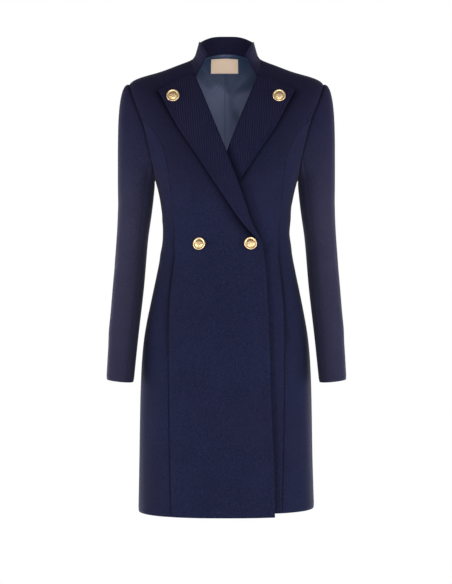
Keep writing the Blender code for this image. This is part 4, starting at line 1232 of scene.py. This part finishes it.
RIBBON_DEEP = (0.775, 0.57, 0.4, 1.0)
RIBBON_LIGHT = (0.92, 0.725, 0.555, 1.0)
ribbon = Surface("cream_ribbon", Sheen_Weight=0.2, Sheen_Roughness=0.4, Specular_IOR_Level=0.35)
across, upwards, _ = ribbon.parts("UV")
picks = (upwards * (2 * math.pi / WEFT_WIDTH)).sine() * (across * (2 * math.pi / WARP_WIDTH)).sine()
to_side = ribbon.math("MINIMUM", across, LABEL_WIDTH - across)
to_edge = ribbon.math("MINIMUM", to_side, ribbon.math("MINIMUM", upwards, LABEL_TOP - upwards))
border = to_edge.between(BORDER, BORDER + 0.0003) * (1 - to_edge.between(BORDER + 0.0005, BORDER + 0.0008))
slubs = ribbon.noise(ribbon.stretched(ribbon.coordinates("UV"), (60.0, 900.0, 1.0)), 1.0, 2.0)
light = (slubs - 0.5) * 0.8 + picks * 0.1 + 0.62 - border * 0.45
CREAM_RIBBON = ribbon.finish(
    Base_Color=ribbon.mixed(light, RIBBON_DEEP, RIBBON_LIGHT),
    Roughness=0.5 + slubs * 0.12,
    Normal=ribbon.bump(picks * 0.3 + slubs * 0.5, 0.35, 0.0002),
)

share = shares(LABEL_COLUMNS)
x = LABEL_SIDES[0] + LABEL_WIDTH * share
drop = shares(LABEL_ROWS)[:, None]
z = (LABEL_ENDS[0] - LABEL_DIP * (2 * share - 1) ** 2) * (1 - drop) + LABEL_ENDS[1] * drop
places = place_at(x, z, behind=True)
places[..., 0] %= 2 * math.pi
form, outward = body_point(places), body_outward(places)
wavy = LABEL_WAVE * np.sin(x * LABEL_WAVES + 1.0) * drop
inwards = CLOTH + LINING_GAP + LINING_CLOTH + LABEL_LIFT + LABEL_STANDOFF * drop**2 + wavy
outer = form - outward * inwards[..., None]
flat = np.stack([np.broadcast_to(x - x[0], z.shape), z - LABEL_ENDS[1]], axis=-1)
label = shell("neck_ribbon", outer, outer - outward * LABEL_CLOTH, CREAM_RIBBON, flat=flat)


def built(name, base, grow, values, material):
    """A plain mesh from a Geometry Nodes tree on a base mesh.

    grow(node, start) adds the tree's own nodes and returns the last socket of its geometry; start
    holds the base mesh and the tree's named inputs, which are set to values.
    """
    tree = bpy.data.node_groups.new(name, "GeometryNodeTree")
    sockets = {}
    for way in ("INPUT", "OUTPUT"):
        tree.interface.new_socket("Geometry", in_out=way, socket_type="NodeSocketGeometry")
    for size, value in values.items():
        kind = "NodeSocketInt" if isinstance(value, int) else "NodeSocketFloat"
        sockets[size] = tree.interface.new_socket(size, in_out="INPUT", socket_type=kind)

    def node(kind, links, **settings):
        made = tree.nodes.new(kind)
        for key, value in settings.items():
            setattr(made, key, value)
        for key, value in links.items():
            for one in value if isinstance(value, list) else [value]:
                if isinstance(one, bpy.types.NodeSocket):
                    tree.links.new(one, made.inputs[key])
                else:
                    made.inputs[key].default_value = one
        return made.outputs[0] if made.outputs else None

    grown = grow(node, tree.nodes.new("NodeGroupInput").outputs)
    real = node("GeometryNodeRealizeInstances", {0: grown})
    node("NodeGroupOutput", {0: node("GeometryNodeSetMaterial", {"Geometry": real, "Material": material})})
    holder = placed(name + "_base", base)
    growth = holder.modifiers.new("growth", "NODES")
    growth.node_group = tree
    for size, value in values.items():
        growth[sockets[size].identifier] = value
    graph = bpy.context.evaluated_depsgraph_get()
    graph.update()
    mesh = bpy.data.meshes.new_from_object(holder.evaluated_get(graph), depsgraph=graph)
    bpy.data.objects.remove(holder)
    mesh.name = name
    mesh.materials.clear()
    mesh.materials.append(material)
    mesh.polygons.foreach_set("material_index", np.zeros(len(mesh.polygons), np.int32))
    mesh.shade_smooth()
    return placed(name, mesh)


def stitched(node, start):
    """Small round-ended stitches laid end to end along a line of thread."""
    line = node("GeometryNodeMeshToCurve", {"Mesh": start["Geometry"]})
    spaced = node("GeometryNodeResampleCurve", {"Curve": line, "Length": start["Spacing"]}, mode="LENGTH")
    tangent = node("GeometryNodeInputTangent", {})
    turned = node("FunctionNodeAlignRotationToVector", {"Vector": tangent}, axis="Z")
    bead = node("GeometryNodeMeshUVSphere", {"Segments": 8, "Rings": 6, "Radius": start["Thread"]})
    long = node("ShaderNodeCombineXYZ", {"X": 1.0, "Y": 1.0, "Z": start["Length"]})
    stitch = node("GeometryNodeTransform", {"Geometry": bead, "Scale": long})
    laid = {"Points": spaced, "Instance": stitch, "Rotation": turned}
    return node("GeometryNodeInstanceOnPoints", laid)


ring = around(outer[1:-1, 1:-1] - outward[1:-1, 1:-1] * (LABEL_CLOTH + THREAD_SUNK))
edge_loop = bpy.data.meshes.new("label_thread")
edge_loop.from_pydata(ring.tolist(), [(i, (i + 1) % len(ring)) for i in range(len(ring))], [])
thread = built("label_stitches", edge_loop, stitched, THREAD, CREAM_RIBBON)
for piece in (label, thread):
    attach(piece, "root")
    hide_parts("neck_label")

# --- The buttons -----------------------------------------------------------------------------
# Four domed buttons of pale gold metal on shanks, two on the lapels' peaks and two at the waist.
# Each is struck with a raised rim, a ring of beads and a rosette of petals.
BUTTON_RADIUS = 0.0128
# For each, x and z; the share of the cloth's own slope that it follows; how far it then leans
# towards +X and turns up; how far it stands off the cloth; and its spin.
BUTTONS = [
    ("lapel_right", -0.1065, -0.086, 0.55, 0.00, 0.00, 0.0055, 0.3),
    ("lapel_left", 0.105, -0.086, 0.55, 0.00, 0.00, 0.0055, 1.1),
    ("waist_right", -0.0528, -0.38, 1.00, -0.05, 0.25, 0.001, 0.7),
    ("waist_left", 0.047, -0.3792, 1.00, -0.07, 0.25, 0.001, 0.1),
]
BUTTON_PROFILE = [  # share of the radius, millimetres above the cloth
    (0, 6.4), (0.12, 6.4), (0.3, 6.18), (0.48, 5.7), (0.6, 5.2), (0.66, 4.82), (0.7, 4.7), (0.74, 4.86),
    (0.79, 5.3), (0.85, 5.62), (0.91, 5.66), (0.96, 5.4), (0.99, 4.9), (1, 4.3), (0.985, 3.75),
    (0.93, 3.2), (0.8, 2.95), (0.5, 2.8), (0.3, 2.7), (0.245, 2.4), (0.24, 1.2), (0.24, 0.1),
]
PROFILE_DETAIL, TURN_DETAIL = 75, 72  # rings and facets
DOME_END = 7 / 21  # share of the profile's points that the relief covers
PETALS = 8
PETAL_HEIGHT, INNER_HEIGHT, HEART_HEIGHT = 0.00052, 0.00034, 0.00045
ROSETTE_EDGE = (0.56, 0.64)
GROOVE = 0.69  # share of the radius at which the ring of beads lies sunk
BEADS = {"Beads": 40, "Ring": BUTTON_RADIUS * 0.7, "Bead": 0.00042, "Height": 0.0047}

GOLD = (0.81, 0.6, 0.345, 1.0)
GOLD_PAINTED_SHADE = (0.36, 0.21, 0.08, 1.0)
metal = Surface("gold_metal", Metallic=1.0)
tarnish = metal.noise(metal.coordinates(), 420.0, 3.0, 0.6)
radial, hollow, _ = metal.parts("UV")
# painted shade in the sunk ring of beads and in the rosette's hollows, with tarnish at random
groove = 1 - metal.math("ABSOLUTE", radial - GROOVE).between(0.03, 0.08)
dark = metal.math("MAXIMUM", groove * 0.75, hollow) + (tarnish - 0.5) * 0.35
GOLD_METAL = metal.finish(
    Base_Color=metal.mixed(dark.between(0.0, 1.0), GOLD, GOLD_PAINTED_SHADE),
    Roughness=0.3 + tarnish * 0.14 + dark * 0.1,
    Normal=metal.bump(tarnish, 0.15, 0.0002),
)


def struck(share, turn):
    """The rosette's relief on the dome, and how much shade is painted in its hollows at a point, from 0 to
    1.
    """
    petal = np.abs(np.cos(turn * PETALS / 2)) ** 0.7 * hump(share, 0.38, 0.16)
    inner = (0.5 + 0.5 * np.cos(turn * PETALS + math.pi)) * hump(share, 0.16, 0.07)
    heart = hump(share, 0.0, 0.07)
    inside = 1 - ease(share, *ROSETTE_EDGE)
    relief = PETAL_HEIGHT * petal + INNER_HEIGHT * inner + HEART_HEIGHT * heart
    return relief * inside, np.clip(1 - (petal + inner + heart) * 1.5, 0, 1) * inside


def button_base(name, spin):
    """The revolved body of a button with its relief, its UV map holding radius and the painted shade of its
    hollows.
    """
    fine = shares(PROFILE_DETAIL)[1:]
    profile = np.array(BUTTON_PROFILE) * [1, 0.001]
    at = shares(len(profile) - 1)
    share, height = (np.interp(fine, at, row)[:, None] for row in profile.T)
    on_top = (fine < DOME_END)[:, None]
    turn = 2 * math.pi * shares(TURN_DETAIL)[None, :-1]
    relief, deep = struck(share, turn + spin)
    x, y = share * np.cos(turn) * BUTTON_RADIUS, share * np.sin(turn) * BUTTON_RADIUS
    rings = np.stack([x, y, height + relief * on_top], axis=-1).reshape(-1, 3)
    tip, foot = profile[0, 1] + struck(np.zeros(1), np.zeros(1))[0][0], profile[-1, 1]
    points = np.concatenate([rings, [[0, 0, tip], [0, 0, foot]]])
    flat = np.stack([np.broadcast_to(share, deep.shape), deep * on_top], axis=-1).reshape(-1, 2)
    index = np.arange(len(rings)).reshape(-1, TURN_DETAIL)
    after = np.roll(index, -1, 1)
    walls = np.stack([index[:-1], index[1:], after[1:], after[:-1]], axis=-1).reshape(-1, 4).tolist()
    top = [(len(rings), int(a), int(b)) for a, b in zip(index[0], after[0])]
    under = [(len(rings) + 1, int(b), int(a)) for a, b in zip(index[-1], after[-1])]
    mesh = bpy.data.meshes.new(name)
    mesh.from_pydata(points.tolist(), [], walls + top + under)
    lay_flat(mesh, np.concatenate([flat, [[0, 0], [0.5, 0]]]))
    return mesh


def beaded(node, start):
    """The button with its ring of beads."""
    ring = node("GeometryNodeCurvePrimitiveCircle", {"Resolution": start["Beads"], "Radius": start["Ring"]})
    bead = node("GeometryNodeMeshUVSphere", {"Segments": 10, "Rings": 7, "Radius": start["Bead"]})
    up = node("ShaderNodeCombineXYZ", {"Z": start["Height"]})
    raised = node("GeometryNodeTransform", {"Geometry": ring, "Translation": up})
    laid = node("GeometryNodeInstanceOnPoints", {"Points": raised, "Instance": bead})
    return node("GeometryNodeJoinGeometry", {0: [laid, start["Geometry"]]})


for name, x, z, follow, lean, nod, lift, spin in BUTTONS:
    piece = built(f"gold_button_{name}", button_base(name, spin), beaded, BEADS, GOLD_METAL)
    place = place_at(x, z)
    outward = body_outward(place)
    axis = unit(outward * follow + np.array([lean, follow - 1, nod]))
    turn = Vector((0, 0, 1)).rotation_difference(Vector(axis)).to_matrix().to_4x4()
    piece.data.transform(Matrix.Translation(body_point(place) + outward * lift) @ turn)
    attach(piece, "root")
    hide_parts(f"button_{name}")
